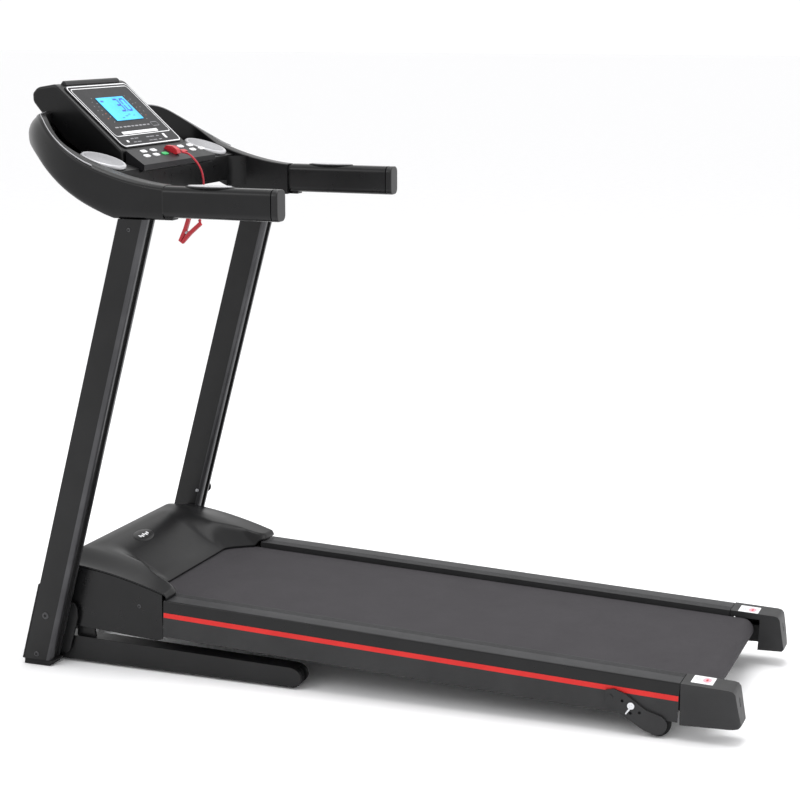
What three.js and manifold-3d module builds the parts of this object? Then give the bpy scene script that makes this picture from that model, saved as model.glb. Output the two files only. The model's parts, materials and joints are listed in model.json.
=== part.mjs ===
// Folding motorised treadmill with a horseshoe console, in millimetres, +Z up.
// +X points to the rear (belt end), -X to the console, -Y is the runner's left hand.
// The origin is the middle of the overall box, on the floor.
import * as THREE from "three";
import { mergeVertices } from "three/addons/utils/BufferGeometryUtils.js";
import Module from "manifold-3d";

const wasm = await Module();
wasm.setup();

// ---------- driving dimensions ----------
const DATUM_X = 32.5; // the drawing datum sits this far behind the middle of the overall box
const GAP = 0.4; // clearance between pieces that touch
const DEG = Math.PI / 180;
const SIDES = [
  ["left", -1],
  ["right", 1],
];

const upright = { outer: 314, wall: 2, thick: 45, depth: 63, foot: -741, lean: 0.271, low: 12, top: 925.4 };
const sleeve = { top: 174, proud: 2.5 };
const base = { inner: 226, outer: 266, front: -688, rear: -137, low: 5, wall: 2 };
const baseTop = { front: 57, rear: 44 }; // the base tubes taper towards the castors
const castor = { x: -161, radius: 20, halfWidth: 11, y: 246 };
const pivot = { x: -625, z: 115, pin: 8 };
const deckTilt = 0.03998; // the running frame drops 40 mm per metre towards the rear
const deckTop = 135; // height of the rails' top above the floor at x = 0
const rail = { inner: 207, outer: 264, height: 77, wall: 3, front: -438, rear: 619.6, lip: 12.4 };
const tube = { inner: 224, outer: 246, top: -29.5, low: -60, front: -642, rear: 690, wall: 2 };
const board = { halfWidth: 238, top: -13.3, thick: 16, front: -462, rear: 612 };
const belt = { halfWidth: 201, thick: 1.3 };
const roller = { radius: 21.2, drop: -34, frontX: -515, rearX: 649, axle: 8, hole: 8.4 };
const driveRatio = 2.5;
const drivePulley = { radius: 30, y: -213, halfWidth: 7 };
const motor = { x: -592, z: 152, radius: 36, left: -170, right: 20 };
const hood = { halfWidth: 264, front: -664, crest: 225, rear: -497, horn: -431, skirt: 128, skin: 3 };
const leg = { inner: 264.6, outer: 269.4, pivotX: 490, pivotZ: 69 };
const legWheel = { x: 578, z: 25, y: 253.8, radius: 25 };
const legPin = { x: 530, z: 57, radius: 3, knob: 7 };
const shell = { centre: -562, length: 231.8, halfWidth: 314, power: 2.16, armEnd: -392 };
const band = { armWall: 42, rimWall: 12, lean: 35, crest: 1116, belly: 1052, thinFrom: 540, thinTo: 650 };
const handle = { y: 298, width: 40, low: 930.5, top: 990.5, wall: 3, seam: -166, end: -152, corner: 13 };
const display = { lowX: -571, lowZ: 1044, angle: 41.6 * DEG, length: 184, halfWidth: 130 };
const keypad = { lipX: -510, lipZ: 1017, angle: 24.9 * DEG, length: 61.7, lipHalf: 162, topHalf: 134 };
const key = { depth: 10, width: 22, rise: 2, seat: -1, pocket: -2.6, play: 0.5 };
const cordRadius = 2;
const cordY = 18;
const clip = { x: -523.5, z: 843, halfWidth: 4.5, heading: Math.atan2(0.8254, 0.5645) };
// The pin that holds the folded deck.
const lock = { x: -625, z: 240, radius: 4, knob: 8, tip: 267.5, neck: 304, outer: 317.8 };
const keeper = { x: -504, z: 147 }; // the hole the lock pin enters once the deck is folded

// ---------- materials ----------
const finish = (color, roughness, metalness = 0) =>
  new THREE.MeshStandardMaterial({ color, roughness, metalness });
const coat = finish(0x2e2e30, 0.45, 0.3);
const plastic = finish(0x2a2a2c, 0.5);
const glossPlastic = finish(0x222224, 0.25);
const beltRubber = finish(0x3a393c, 0.85);
const steel = finish(0xb9bcc0, 0.3, 1);
const rubber = finish(0x1a1a1b, 0.9);
const redPlastic = finish(0xc8202c, 0.4);
const whitePlastic = finish(0xe6e6e6, 0.5);
const greenPlastic = finish(0x28a050, 0.5);
const silver = finish(0xc8c8ca, 0.35, 0.6);
const screen = finish(0x58d0ff, 0.2);
const wood = finish(0x6a5038, 0.8);
const circuit = finish(0x1f5a34, 0.7);

// ---------- solid helpers ----------
function solid(geometry) {
  const bare = geometry.clone();
  for (const name of Object.keys(bare.attributes)) {
    if (name !== "position") bare.deleteAttribute(name);
  }
  const merged = mergeVertices(bare, 1e-4);
  return new wasm.Manifold(
    new wasm.Mesh({
      numProp: 3,
      vertProperties: merged.attributes.position.array,
      triVerts: new Uint32Array(merged.index.array),
    }),
  );
}

function geometryOf(manifold) {
  const mesh = manifold.getMesh();
  const geometry = new THREE.BufferGeometry();
  geometry.setAttribute("position", new THREE.BufferAttribute(mesh.vertProperties, 3));
  geometry.setIndex(new THREE.BufferAttribute(mesh.triVerts, 1));
  const flat = geometry.toNonIndexed();
  flat.computeVertexNormals();
  return flat;
}

const join = (first, ...rest) => geometryOf(rest.reduce((sum, g) => sum.add(solid(g)), solid(first)));
const cut = (body, ...tools) => geometryOf(tools.reduce((left, g) => left.subtract(solid(g)), solid(body)));
const common = (a, b) => geometryOf(solid(a).intersect(solid(b)));

function box(x0, x1, y0, y1, z0, z1) {
  const geometry = new THREE.BoxGeometry(x1 - x0, y1 - y0, z1 - z0);
  return geometry.translate((x0 + x1) / 2, (y0 + y1) / 2, (z0 + z1) / 2);
}

// A box across one side of the machine, between the distances near and far from the middle plane.
const sideBox = (x0, x1, side, near, far, z0, z1) =>
  box(x0, x1, Math.min(side * near, side * far), Math.max(side * near, side * far), z0, z1);

function shapeOf(points, holes = []) {
  const shape = new THREE.Shape(points.map(([u, v]) => new THREE.Vector2(u, v)));
  shape.holes = holes.map((hole) => new THREE.Path(hole.map(([u, v]) => new THREE.Vector2(u, v))));
  return shape;
}

const extrude = (shape, depth, curveSegments = 6) =>
  new THREE.ExtrudeGeometry(shape, { depth, bevelEnabled: false, curveSegments });

// An X-Z profile carried along Y between the distances near and far on one side, or between two y values.
function prismY(points, ya, yb, holes = []) {
  const low = Math.min(ya, yb);
  const high = Math.max(ya, yb);
  return extrude(shapeOf(points, holes), high - low)
    .rotateX(Math.PI / 2)
    .translate(0, high, 0);
}

// A Y-Z profile carried along X.
function prismX(points, x0, x1, holes = []) {
  const turn = new THREE.Matrix4().makeBasis(
    new THREE.Vector3(0, 1, 0),
    new THREE.Vector3(0, 0, 1),
    new THREE.Vector3(1, 0, 0),
  );
  return extrude(shapeOf(points, holes), x1 - x0)
    .applyMatrix4(turn)
    .translate(x0, 0, 0);
}

// An X-Y outline carried up Z.
const prismZ = (points, z0, z1, holes = []) =>
  extrude(shapeOf(points, holes), z1 - z0).translate(0, 0, z0);

function cylinderY(x, z, radius, ya, yb, segments = 20) {
  const geometry = new THREE.CylinderGeometry(radius, radius, Math.abs(yb - ya), segments);
  return geometry.translate(x, (ya + yb) / 2, z);
}

function arc(cx, cy, radius, from, to, steps) {
  return Array.from({ length: steps + 1 }, (_, i) => {
    const angle = (from + ((to - from) * i) / steps) * DEG;
    return [cx + radius * Math.cos(angle), cy + radius * Math.sin(angle)];
  });
}

function roundedRect(u0, u1, v0, v1, radius, steps = 3) {
  return [
    ...arc(u1 - radius, v0 + radius, radius, -90, 0, steps),
    ...arc(u1 - radius, v1 - radius, radius, 0, 90, steps),
    ...arc(u0 + radius, v1 - radius, radius, 90, 180, steps),
    ...arc(u0 + radius, v0 + radius, radius, 180, 270, steps),
  ];
}

// A closed skin through rings of equal, even point counts. Each ring runs out along one wall and back along
// the other, so its ends are capped by strips between facing points.
function loft(rings) {
  const count = rings[0].length;
  const faces = [];
  const quad = (a, b, c, d) => faces.push(a, b, c, a, c, d);
  for (let r = 0; r < rings.length - 1; r++) {
    for (let i = 0; i < count; i++) {
      const a = r * count + i;
      const b = r * count + ((i + 1) % count);
      quad(a, b, b + count, a + count);
    }
  }
  const last = (rings.length - 1) * count;
  for (let i = 0; i < count / 2 - 1; i++) {
    const [a, b, c, d] = [i, i + 1, count - 2 - i, count - 1 - i];
    quad(a, d, c, b);
    quad(last + a, last + b, last + c, last + d);
  }
  const skin = (order) => {
    const geometry = new THREE.BufferGeometry();
    geometry.setAttribute("position", new THREE.BufferAttribute(new Float32Array(rings.flat(2)), 3));
    return geometry.setIndex(order).toNonIndexed();
  };
  const made = skin(faces);
  return solid(made).volume() > 0 ? made : skin(faces.reverse());
}

const smooth = (low, high, value) => {
  const t = Math.min(1, Math.max(0, (value - low) / (high - low)));
  return t * t * (3 - 2 * t);
};
const mix = (a, b, t) => a + (b - a) * t;

// The smaller of two heights, with the corner between them rounded over the given width.
function softMin(a, b, width) {
  const share = Math.min(1, Math.max(0, 0.5 + (0.5 * (b - a)) / width));
  return mix(b, a, share) - width * share * (1 - share);
}

// ---------- scene graph ----------
const treadmill = new THREE.Group();
const stand = new THREE.Group();
stand.position.x = DATUM_X;
treadmill.add(stand);

const deck = new THREE.Group(); // drawn level, then tilted with the running frame
deck.position.z = deckTop;
deck.rotation.y = deckTilt;
stand.add(deck);

const displayFrame = new THREE.Group();
displayFrame.position.set(display.lowX, 0, display.lowZ);
displayFrame.rotation.y = display.angle;
stand.add(displayFrame);

const keypadFrame = new THREE.Group();
keypadFrame.position.set(keypad.lipX, 0, keypad.lipZ);
keypadFrame.rotation.y = keypad.angle;
stand.add(keypadFrame);

function add(parent, name, geometry, material) {
  const mesh = new THREE.Mesh(geometry, material);
  mesh.name = name;
  parent.add(mesh);
  return mesh;
}

// ---------- base and uprights ----------
const uprightFront = (z, proud = 0) => upright.foot + upright.lean * z - proud;

function uprightProfile(z0, z1, inset) {
  return [
    [uprightFront(z0, -inset), z0],
    [uprightFront(z0, inset - upright.depth), z0],
    [uprightFront(z1, inset - upright.depth), z1],
    [uprightFront(z1, -inset), z1],
  ];
}

function uprightGeometry(side) {
  const inner = upright.outer - upright.thick;
  const tubeBody = prismY(uprightProfile(upright.low, upright.top, 0), side * inner, side * upright.outer);
  const lowSleeve = prismY(
    uprightProfile(upright.low, sleeve.top, -sleeve.proud),
    side * inner,
    side * upright.outer,
  );
  const bore = prismY(
    uprightProfile(upright.low - 5, upright.top + 5, upright.wall),
    side * (inner + upright.wall),
    side * (upright.outer - upright.wall),
  );
  return cut(join(tubeBody, lowSleeve), bore, ...lockHoles(side));
}

// The pin that holds the folded deck slides through the right upright, its knob through the outer wall.
function lockHoles(side) {
  if (side < 0) return [];
  return [
    cylinderY(lock.x, lock.z, lock.radius + GAP, lock.tip - 20, lock.neck - 20, 16),
    cylinderY(lock.x, lock.z, lock.knob + GAP, lock.neck - 10, lock.outer + 10, 24),
  ];
}

function baseTubeGeometry(side) {
  const slope = (baseTop.rear - baseTop.front) / (base.rear - base.front);
  const top = (x) => baseTop.front + slope * (x - base.front);
  const nose = arc(base.rear - 19, base.low + 19, 19, -90, 75, 8);
  const outline = [
    [base.front, base.low],
    ...nose,
    [base.rear - 22, top(base.rear - 22)],
    [base.front, top(base.front)],
  ];
  const boreEnd = castor.x - 30;
  const bore = prismY(
    [
      [base.front - 5, base.low + base.wall],
      [boreEnd, base.low + base.wall],
      [boreEnd, top(boreEnd) - base.wall],
      [base.front - 5, top(base.front) - base.wall],
    ],
    side * (base.inner + base.wall),
    side * (base.outer - base.wall),
  );
  const slotHalf = castor.halfWidth + 1;
  const wheelSlot = box(
    castor.x - castor.radius - 3,
    base.rear + 5,
    side * castor.y - slotHalf,
    side * castor.y + slotHalf,
    -5,
    castor.radius * 2 + 1.2,
  );
  const axle = cylinderY(castor.x, castor.radius, 4, side * (base.inner + 2), side * (base.outer - 2), 12);
  const ear = prismY(
    [
      [pivot.x - 22, base.low + 6],
      [pivot.x + 30, base.low + 6],
      ...arc(pivot.x, pivot.z, 15, 0, 180, 8),
    ],
    side * 248,
    side * 254,
  );
  const earBore = cylinderY(pivot.x, pivot.z, pivot.pin + GAP, side * 240, side * 262);
  const body = cut(prismY(outline, side * base.inner, side * base.outer), bore, wheelSlot);
  return cut(join(body, axle, ear), earBore);
}

function addStand(name, side) {
  add(stand, `upright_${name}`, uprightGeometry(side), coat);
  add(stand, `base_tube_${name}`, baseTubeGeometry(side), coat);
  const foot = prismY(
    [
      [uprightFront(0, -4), 0],
      [uprightFront(0, -upright.depth), 0],
      [uprightFront(upright.low, -upright.depth) + 6, upright.low - GAP],
      [uprightFront(upright.low, -2), upright.low - GAP],
    ],
    side * (upright.outer - upright.thick + 2),
    side * (upright.outer - 2),
  );
  add(stand, `front_foot_${name}`, foot, rubber);
  const wheel = cut(
    cylinderY(0, 0, castor.radius, -castor.halfWidth, castor.halfWidth, 32),
    cylinderY(0, 0, 4.4, -30, 30, 12),
  );
  const turning = add(stand, `transport_wheel_${name}`, wheel, rubber);
  turning.position.set(castor.x, side * castor.y, castor.radius);
}

// The cross tube ties the two uprights together in front of the base tubes.
function crossbarGeometry() {
  const half = upright.outer - upright.thick - GAP;
  return cut(box(-722, -689, -half, half, 14, 50), box(-720, -691, -400, 400, 16, 48));
}

// ---------- running frame ----------
function deckFrameGeometry() {
  const parts = [];
  const bores = [];
  for (const [, side] of SIDES) {
    parts.push(sideBox(tube.front, tube.rear, side, tube.inner, tube.outer, tube.low, tube.top));
    bores.push(
      sideBox(
        tube.front + 40,
        tube.rear + 5,
        side,
        tube.inner + tube.wall,
        tube.outer - tube.wall,
        tube.low + tube.wall,
        tube.top - tube.wall,
      ),
    );
    for (const x of [roller.frontX, roller.rearX]) {
      bores.push(cylinderY(x, roller.drop, roller.hole, side * 220, side * 250));
    }
  }
  const reach = tube.inner + 1;
  const crossTubes = [-440, 60, 570].map((x) => box(x, x + 26, -reach, reach, -53, tube.top));
  const frontTube = cylinderY(pivotLocal[0], pivotLocal[1], 12, -reach, reach);
  const pins = cylinderY(pivotLocal[0], pivotLocal[1], pivot.pin, -258, 258);
  const motorPlate = box(pivotLocal[0], -546, -reach, reach, -57, -53);
  return cut(join(...parts, ...crossTubes, frontTube, pins, motorPlate), ...bores);
}

// A point of the level drawing, in the tilted running frame's own coordinates.
function inDeck(x, z) {
  const dz = z - deckTop;
  const c = Math.cos(deckTilt);
  const s = Math.sin(deckTilt);
  return [x * c - dz * s, x * s + dz * c];
}
const deckPoints = (points) => points.map(([x, z]) => inDeck(x, z));
const pivotLocal = inDeck(pivot.x, pivot.z);
const legPivot = inDeck(leg.pivotX, leg.pivotZ);

function railGeometry(side) {
  const w = rail.wall;
  const section = [
    [rail.inner, 0],
    [rail.inner, -rail.lip],
    [rail.inner + w, -rail.lip],
    [rail.inner + w, -w],
    [rail.outer - w, -w],
    [rail.outer - w, -rail.height + 4],
    [rail.outer - 14, -rail.height + 4],
    [rail.outer - 14, -rail.height],
    [rail.outer, -rail.height],
    [rail.outer, -4],
    [rail.outer - 4, 0],
  ].map(([y, z]) => [side * y, z]);
  const body = prismX(side > 0 ? section.reverse() : section, rail.front, rail.rear);
  const wheelWindow = sideBox(540, rail.rear + 1, side, rail.inner + 5, rail.outer - 3.2, -90, -60);
  const hinge = cylinderY(legPivot[0], legPivot[1], 5.4, side * 255, side * 270, 16);
  return cut(body, wheelWindow, hinge);
}

function beltLoop(inner, outer, width, yMid, ends) {
  const outline = (grow) => [
    ...arc(ends[1][0], ends[1][1], ends[1][2] + grow, -90, 90, 10),
    ...arc(ends[0][0], ends[0][1], ends[0][2] + grow, 90, 270, 10),
  ];
  return prismY(outline(outer), yMid - width, yMid + width, [outline(inner).reverse()]);
}

const runningBeltGeometry = () =>
  beltLoop(GAP, GAP + belt.thick, belt.halfWidth, 0, [
    [roller.frontX, roller.drop, roller.radius],
    [roller.rearX, roller.drop, roller.radius],
  ]);

function rollerGeometry(withPulley) {
  const drum = cylinderY(0, 0, roller.radius, -belt.halfWidth - 2, belt.halfWidth + 2, 32);
  const axle = cylinderY(0, 0, roller.axle, -244, 244, 16);
  if (!withPulley) return join(drum, axle);
  const { radius, y, halfWidth } = drivePulley;
  const sheave = cylinderY(0, 0, radius, y - halfWidth, y + halfWidth, 32);
  return join(drum, axle, sheave);
}

const motorLocal = inDeck(motor.x, motor.z);
const motorPulleyRadius = drivePulley.radius / driveRatio;

function motorGeometry() {
  const [x, z] = motorLocal;
  const can = cylinderY(x, z, motor.radius, motor.left, motor.right, 32);
  const bell = cylinderY(x, z, motor.radius - 8, motor.left - 10, motor.left, 24);
  const foot = box(x - 10, x + 26, motor.left + 20, motor.right - 20, -52.6, z - 20);
  const shaftBore = cylinderY(x, z, 6.4, motor.left - 20, motor.left + 30, 12);
  return cut(join(can, bell, foot), shaftBore);
}

const motorPulleyGeometry = () =>
  join(
    cylinderY(0, 0, motorPulleyRadius, drivePulley.y - 7, drivePulley.y + 7, 24),
    cylinderY(0, 0, 6, drivePulley.y - 7, motor.left + 25, 12),
  );

const driveBeltGeometry = () => {
  const small = [motorLocal[0], motorLocal[1], motorPulleyRadius];
  const large = [roller.frontX, roller.drop, drivePulley.radius];
  const dx = large[0] - small[0];
  const dz = large[1] - small[1];
  const heading = Math.atan2(dz, dx) / DEG;
  const wrap = Math.asin((large[2] - small[2]) / Math.hypot(dx, dz)) / DEG;
  const outline = (grow) => [
    ...arc(large[0], large[1], large[2] + grow, heading - 90 - wrap, heading + 90 + wrap, 14),
    ...arc(small[0], small[1], small[2] + grow, heading + 90 + wrap, heading + 270 - wrap, 8),
  ];
  return prismY(outline(2.4), drivePulley.y - 6, drivePulley.y + 6, [outline(GAP).reverse()]);
};

// The end cap closes the rail, carries the roller's tension bolt and steps down to the floor side.
function endCapGeometry(side) {
  const profile = deckPoints([
    [620.4, 29.5],
    [728, 33],
    [732, 37],
    [721.5, 99],
    [717, 104.6],
    [709, 106.6],
    [620.4, 110.1],
  ]);
  const plan = (inner, outer, rear, corner) =>
    [
      [600, inner],
      [rear, inner],
      ...arc(rear - corner, outer - corner, corner, 0, 90, 5),
      [600, outer],
    ].map(([x, y]) => [x, side * y]);
  const facing = (points) => (side > 0 ? points : points.reverse());
  const body = common(
    prismY(profile, side * 190, side * 280),
    prismZ(facing(plan(rail.inner, 266, 735.5, 20)), -120, 20),
  );
  const inside = deckPoints([
    [600, 20],
    [724, 36.5],
    [728, 40],
    [718, 97],
    [708, 103],
    [600, 106.8],
  ]);
  const hollow = common(
    prismY(inside, side * 190, side * 280),
    prismZ(facing(plan(rail.inner + 4, 262.4, 731.5, 16.5)), -120, 20),
  );
  const inlet = sideBox(600, 682, side, 200, rail.inner + 5, -90, -12);
  return cut(body, hollow, inlet);
}

// ---------- motor hood ----------
function hoodHeight(x, y) {
  const away = Math.abs(y);
  const along = (x - hood.front) / (hood.rear - hood.front);
  const fall = 0.45 * smooth(0.22, 1, along) + 0.55 * Math.max(0, (along - 0.12) / 0.88);
  const middle = mix(hood.crest, 153.5, fall);
  const back = (x - hood.front) / (hood.horn - hood.front);
  const shoulder = mix(hood.crest, 166, Math.pow(Math.max(0, back), 1.35));
  const edge = mix(209, 164, Math.pow(Math.max(0, back), 1.7));
  const inner = mix(middle, shoulder, smooth(120, 175, away));
  const crown = mix(inner, edge, smooth(185, hood.halfWidth, away));
  const aboveRail = smooth(196, 206, away);
  const rearEdge = mix(129, 140, aboveRail) - 0.04 * x;
  const climb = mix(0.9, 3, smooth(200, 235, away));
  return softMin(crown, rearEdge + climb * Math.max(0, hoodRear(y) - x), 8);
}

function hoodRear(y) {
  return mix(hood.rear, hood.horn, smooth(138, 226, Math.abs(y)));
}

function hoodGeometry() {
  const half = [60, 120, 146, 168, 190, 212, 232, 250, hood.halfWidth];
  const stations = [...half.map((y) => -y).reverse(), 0, ...half];
  const steps = 12;
  const rings = stations.map((y) => {
    const nose = hood.front - 6 + 14 * smooth(180, hood.halfWidth, Math.abs(y));
    const rear = hoodRear(y);
    const brow = hoodHeight(hood.front, y);
    const outer = [
      [nose - 2, hood.skirt],
      [nose - 1, brow - 16],
      [nose + 4, brow - 4],
    ];
    for (let i = 0; i <= steps; i++) {
      const share = 1 - Math.pow(1 - i / steps, 1.8);
      const x = mix(nose + 12, rear, share);
      outer.push([x, hoodHeight(Math.max(x, hood.front), y)]);
    }
    const inner = outer.map(([x, z], i) => {
      if (i < 2) return [x + hood.skin, z];
      return [i < 6 ? x + 1.5 : x, z - hood.skin];
    });
    return [...outer, ...inner.reverse()].map(([x, z]) => [x, y, z]);
  });
  return loft(rings);
}

function sideCoverGeometry(side) {
  const under = (x) => hoodHeight(x, hood.halfWidth) - hood.skin - 1;
  const top = [-441, -470, -505, -540, -580, -620, -640].map((x) => [x, under(x)]);
  const front = [
    [-652, 186],
    [-652, 127],
    [-655, 126],
  ];
  const outline = [[-655, 78], [-456, 66], [-441, 70], ...top, ...front];
  const plate = prismY(outline, side * 261.4, side * hood.halfWidth);
  const hole = cylinderY(keeper.x, keeper.z, lock.radius + 1, side * 255, side * 270, 16);
  const boss = prismY(roundedRect(-500, -486, 127, 141, 4, 2), side * 258, side * 262);
  return side > 0 ? cut(join(plate, boss), hole) : join(plate, boss);
}

// ---------- incline legs ----------
function legGeometry(side) {
  const outline = [
    [482, 58],
    [505, 41],
    [554, 12],
    ...arc(legWheel.x, legWheel.z, 20, -120, 60, 8),
    [558, 51],
    [536, 66],
    [518, 78],
    [496, 85],
    [480, 81],
  ];
  const plate = prismY(outline, side * leg.inner, side * leg.outer);
  const hinge = cylinderY(leg.pivotX, leg.pivotZ, 5, side * 257, side * (leg.outer + 1.6), 16);
  const axle = cylinderY(legWheel.x, legWheel.z, 4.5, side * 246, side * leg.outer, 16);
  const holes = [
    [513, 64],
    [546, 45],
    [529, 42],
  ].map(([x, z]) => cylinderY(x, z, 3, side * 260, side * 275, 10));
  const pinHole = cylinderY(legPin.x, legPin.z, legPin.radius + 0.5, side * 260, side * 275, 12);
  return cut(join(plate, hinge, axle), ...holes, pinHole);
}

function addLeg(name, side) {
  add(stand, `incline_leg_${name}`, legGeometry(side), coat);
  const wheel = cut(
    cylinderY(0, 0, legWheel.radius, -6.4, 6.4, 32),
    cylinderY(0, 0, 4.9, -20, 20, 16),
  );
  add(stand, `leg_wheel_${name}`, wheel, rubber).position.set(legWheel.x, side * legWheel.y, legWheel.z);
  const pin = join(
    cylinderY(legPin.x, legPin.z, legPin.radius, side * (leg.inner + 0.3), side * 274, 12),
    cylinderY(legPin.x, legPin.z, legPin.knob, side * (leg.outer + GAP), side * 273, 16),
    prismY([[531, 59], [519, 41], [521, 39], [534, 56]], side * (leg.outer + GAP), side * 272),
  );
  add(stand, `leg_pin_${name}`, pin, steel);
}

// ---------- console shell: a horseshoe from one arm round the front to the other ----------
function plan(angle, inset) {
  const across = shell.halfWidth - inset.side;
  const along = shell.length - inset.front;
  const s = Math.pow(Math.max(0, Math.sin(angle)), 2 / shell.power);
  const c = Math.pow(Math.max(0, Math.cos(angle)), 2 / shell.power);
  return [shell.centre - along * s, across * c];
}

// The band climbs towards the front, then runs level round the nose.
function rimHeights(x) {
  const u = -(x + 390);
  const top = softMin(991 + 0.075 * u + 0.00097 * u * u, band.crest, 16);
  const low = Math.max(926, softMin(903 + 0.07 * u + 0.00121 * u * u, band.belly, 30));
  return [low, top];
}

// The band's inner wall: thick along the arms, thin round the front.
function wallInset(x, clearance) {
  const thin = smooth(band.thinFrom, band.thinTo, -x);
  const side = mix(band.armWall, band.rimWall + 3, thin);
  return { side: side + clearance, front: band.lean + band.rimWall + clearance };
}

const quarterSteps = 18;

// One side of the horseshoe from the arm's end to the nose, at each place the points of the band's outline.
function bandStations() {
  const arm = [shell.armEnd, -430, -475, -520].map((x) => (inset) => [x, shell.halfWidth - inset.side]);
  const curve = [];
  for (let i = 0; i <= quarterSteps; i++) {
    curve.push((inset) => plan((90 * DEG * i) / quarterSteps, inset));
  }
  return [...arm, ...curve];
}

function consoleShellGeometry() {
  const ring = (station, side) => {
    const x = station({ side: 0, front: 0 })[0];
    const [low, top] = rimHeights(x);
    const at = (inset, z) => {
      const [px, py] = station(inset);
      return [px, side * py, z];
    };
    const wall = wallInset(x, 0);
    const thin = smooth(band.thinFrom, band.thinTo, -x);
    const bevel = { side: mix(16, 4, thin), drop: mix(9, 5, thin) };
    return [
      at({ side: 5, front: 8 }, low),
      at({ side: 0, front: 1 }, mix(low, top, 0.16)),
      at({ side: 0, front: 0 }, mix(low, top, 0.42)),
      at({ side: 0, front: 5 }, mix(low, top, 0.62)),
      at({ side: 0, front: 16 }, mix(low, top, 0.82)),
      at({ side: bevel.side / 4, front: 30 }, top - bevel.drop),
      at({ side: bevel.side, front: band.lean }, top),
      at(wall, top - 1),
      at(wall, low),
    ];
  };
  const half = bandStations();
  const rings = half.map((s) => ring(s, -1)).concat(half.slice(0, -1).reverse().map((s) => ring(s, 1)));
  const podRoom = prismY(
    [[-725, 1180], [-774, 1160], [-773, 1136.7], [-752.6, 1112.3], [-700.5, 1059.3], [-680, 1060]],
    -142.6,
    142.6,
  );
  return cut(loft(rings), podRoom);
}

function consoleDeckGeometry() {
  const clearance = 0.8;
  const quarter = bandStations().map((s) => s(wallInset(s({ side: 0, front: 0 })[0], clearance)));
  const mirrored = quarter.slice(0, -1).reverse().map(([x, y]) => [x, -y]);
  const outline = [...quarter, ...mirrored];
  const profile = [
    [-520, 955],
    [-520, 1010],
    [-622, 1041],
    [-622, 1001],
    [-700, 1052],
    [-775, 1105],
    [-775, 1094],
    [-700, 1041],
    [-622, 987],
    [-560, 963],
  ];
  const body = common(prismZ(outline, 900, 1200), prismY(profile, -300, 300));
  const seat = box(-640, -500, -164, 164, 1002.4, 1100);
  return cut(body, seat);
}

// A point on the tilted display face: along runs down the face from its lower edge, up stands off it.
const onFace = (along, up) => [
  display.lowX + along * Math.cos(display.angle) + up * Math.sin(display.angle),
  display.lowZ - along * Math.sin(display.angle) + up * Math.cos(display.angle),
];

function podGeometry() {
  const profile = [
    [-567, 1003],
    onFace(4, 0),
    onFace(-191, 0),
    [-724, 1172],
    [-761, 1166],
    [-773, 1154],
    [-772, 1137],
    [-752, 1113],
    [-700, 1060],
    [-622, 1008],
    [-618, 1003],
  ];
  const inside = [
    [-575, 1000],
    onFace(0, -4),
    onFace(-188, -6),
    [-726, 1161],
    [-755, 1156],
    [-762, 1143],
    [-742, 1108],
    [-690, 1054],
    [-625, 1000],
  ];
  const ledge = prismY(
    [onFace(-187, -2), onFace(-187, 2), onFace(-193, 5), onFace(-199, 3), onFace(-199, -5)],
    -112,
    112,
  );
  return cut(join(prismY(profile, -142, 142), ledge), prismY(inside, -138, 138));
}

const keyPlaces = [
  ["key_incline_up", 48, -82, whitePlastic],
  ["key_incline_down", 48, -40, whitePlastic],
  ["key_speed_slow", 48, 82, whitePlastic],
  ["key_speed_fast", 48, 125, whitePlastic],
  ["key_mode", 30, -98, whitePlastic],
  ["key_program", 30, -58, whitePlastic],
  ["key_start", 30, -20, greenPlastic],
  ["key_stop", 30, 65, redPlastic],
  ["key_slower", 30, 107, whitePlastic],
  ["key_faster", 30, 148, whitePlastic],
];

function keypadGeometry() {
  const { lipX, lipZ, length, angle, lipHalf, topHalf } = keypad;
  const topX = lipX - length * Math.cos(angle);
  const topZ = lipZ + length * Math.sin(angle);
  const outline = [
    [lipX + 5, -lipHalf - 2],
    [lipX + 5, lipHalf + 2],
    [topX, topHalf],
    [topX, -topHalf],
  ];
  const wedge = prismY(
    [
      [lipX, lipZ],
      [topX, topZ],
      [topX, 1003.4],
      [lipX - 8, 1003.4],
      [lipX - 0.5, 1006.5],
    ],
    -200,
    200,
  );
  const half = { x: key.depth / 2 + key.play, y: key.width / 2 + key.play };
  const pockets = keyPlaces.map(([, up, y]) =>
    box(-up - half.x, -up + half.x, y - half.y, y + half.y, key.pocket, 5),
  );
  const safetySlot = box(-48, -24, 10, 26, -3.4, 5);
  const onKeypad = (tool) => tool.rotateY(angle).translate(lipX, 0, lipZ);
  return cut(common(wedge, prismZ(outline, 900, 1100)), ...[...pockets, safetySlot].map(onKeypad));
}

function addKeys() {
  for (const [name, up, y, material] of keyPlaces) {
    const cap = prismZ(
      roundedRect(-key.depth / 2, key.depth / 2, -key.width / 2, key.width / 2, 3, 2),
      key.seat,
      key.rise,
    );
    add(keypadFrame, name, cap, material).position.set(-up, y, 0);
  }
}

function safetyKeyGeometry() {
  const plug = box(-47.4, -24.6, 10.6, 25.4, -3, 1);
  const grip = prismY(
    [
      [-50, 0.5],
      [-20, 0.5],
      [-17, 4],
      [-22, 11],
      [-34, 13],
      [-48, 8],
    ],
    10,
    26,
  );
  return join(plug, grip);
}

// ---------- safety cord and clip ----------
const cordRoute = [
  [-517.2, 1030.6],
  [-510.6, 1029.8],
  [-504.9, 1028.6],
  [-499.8, 1026.2],
  [-494.6, 1022.2],
  [-488.9, 1016.8],
  [-483, 1010.4],
  [-477.5, 1002.8],
  [-473.3, 994.2],
  [-470.5, 985],
  [-469, 975.5],
  [-468.5, 966],
  [-468.7, 956],
  [-469.4, 945.3],
  [-470.5, 934.7],
  [-472.1, 924],
  [-474.1, 913.3],
  [-476.3, 903.7],
  [-478.7, 895.4],
  [-479.3, 889.6],
];

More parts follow.
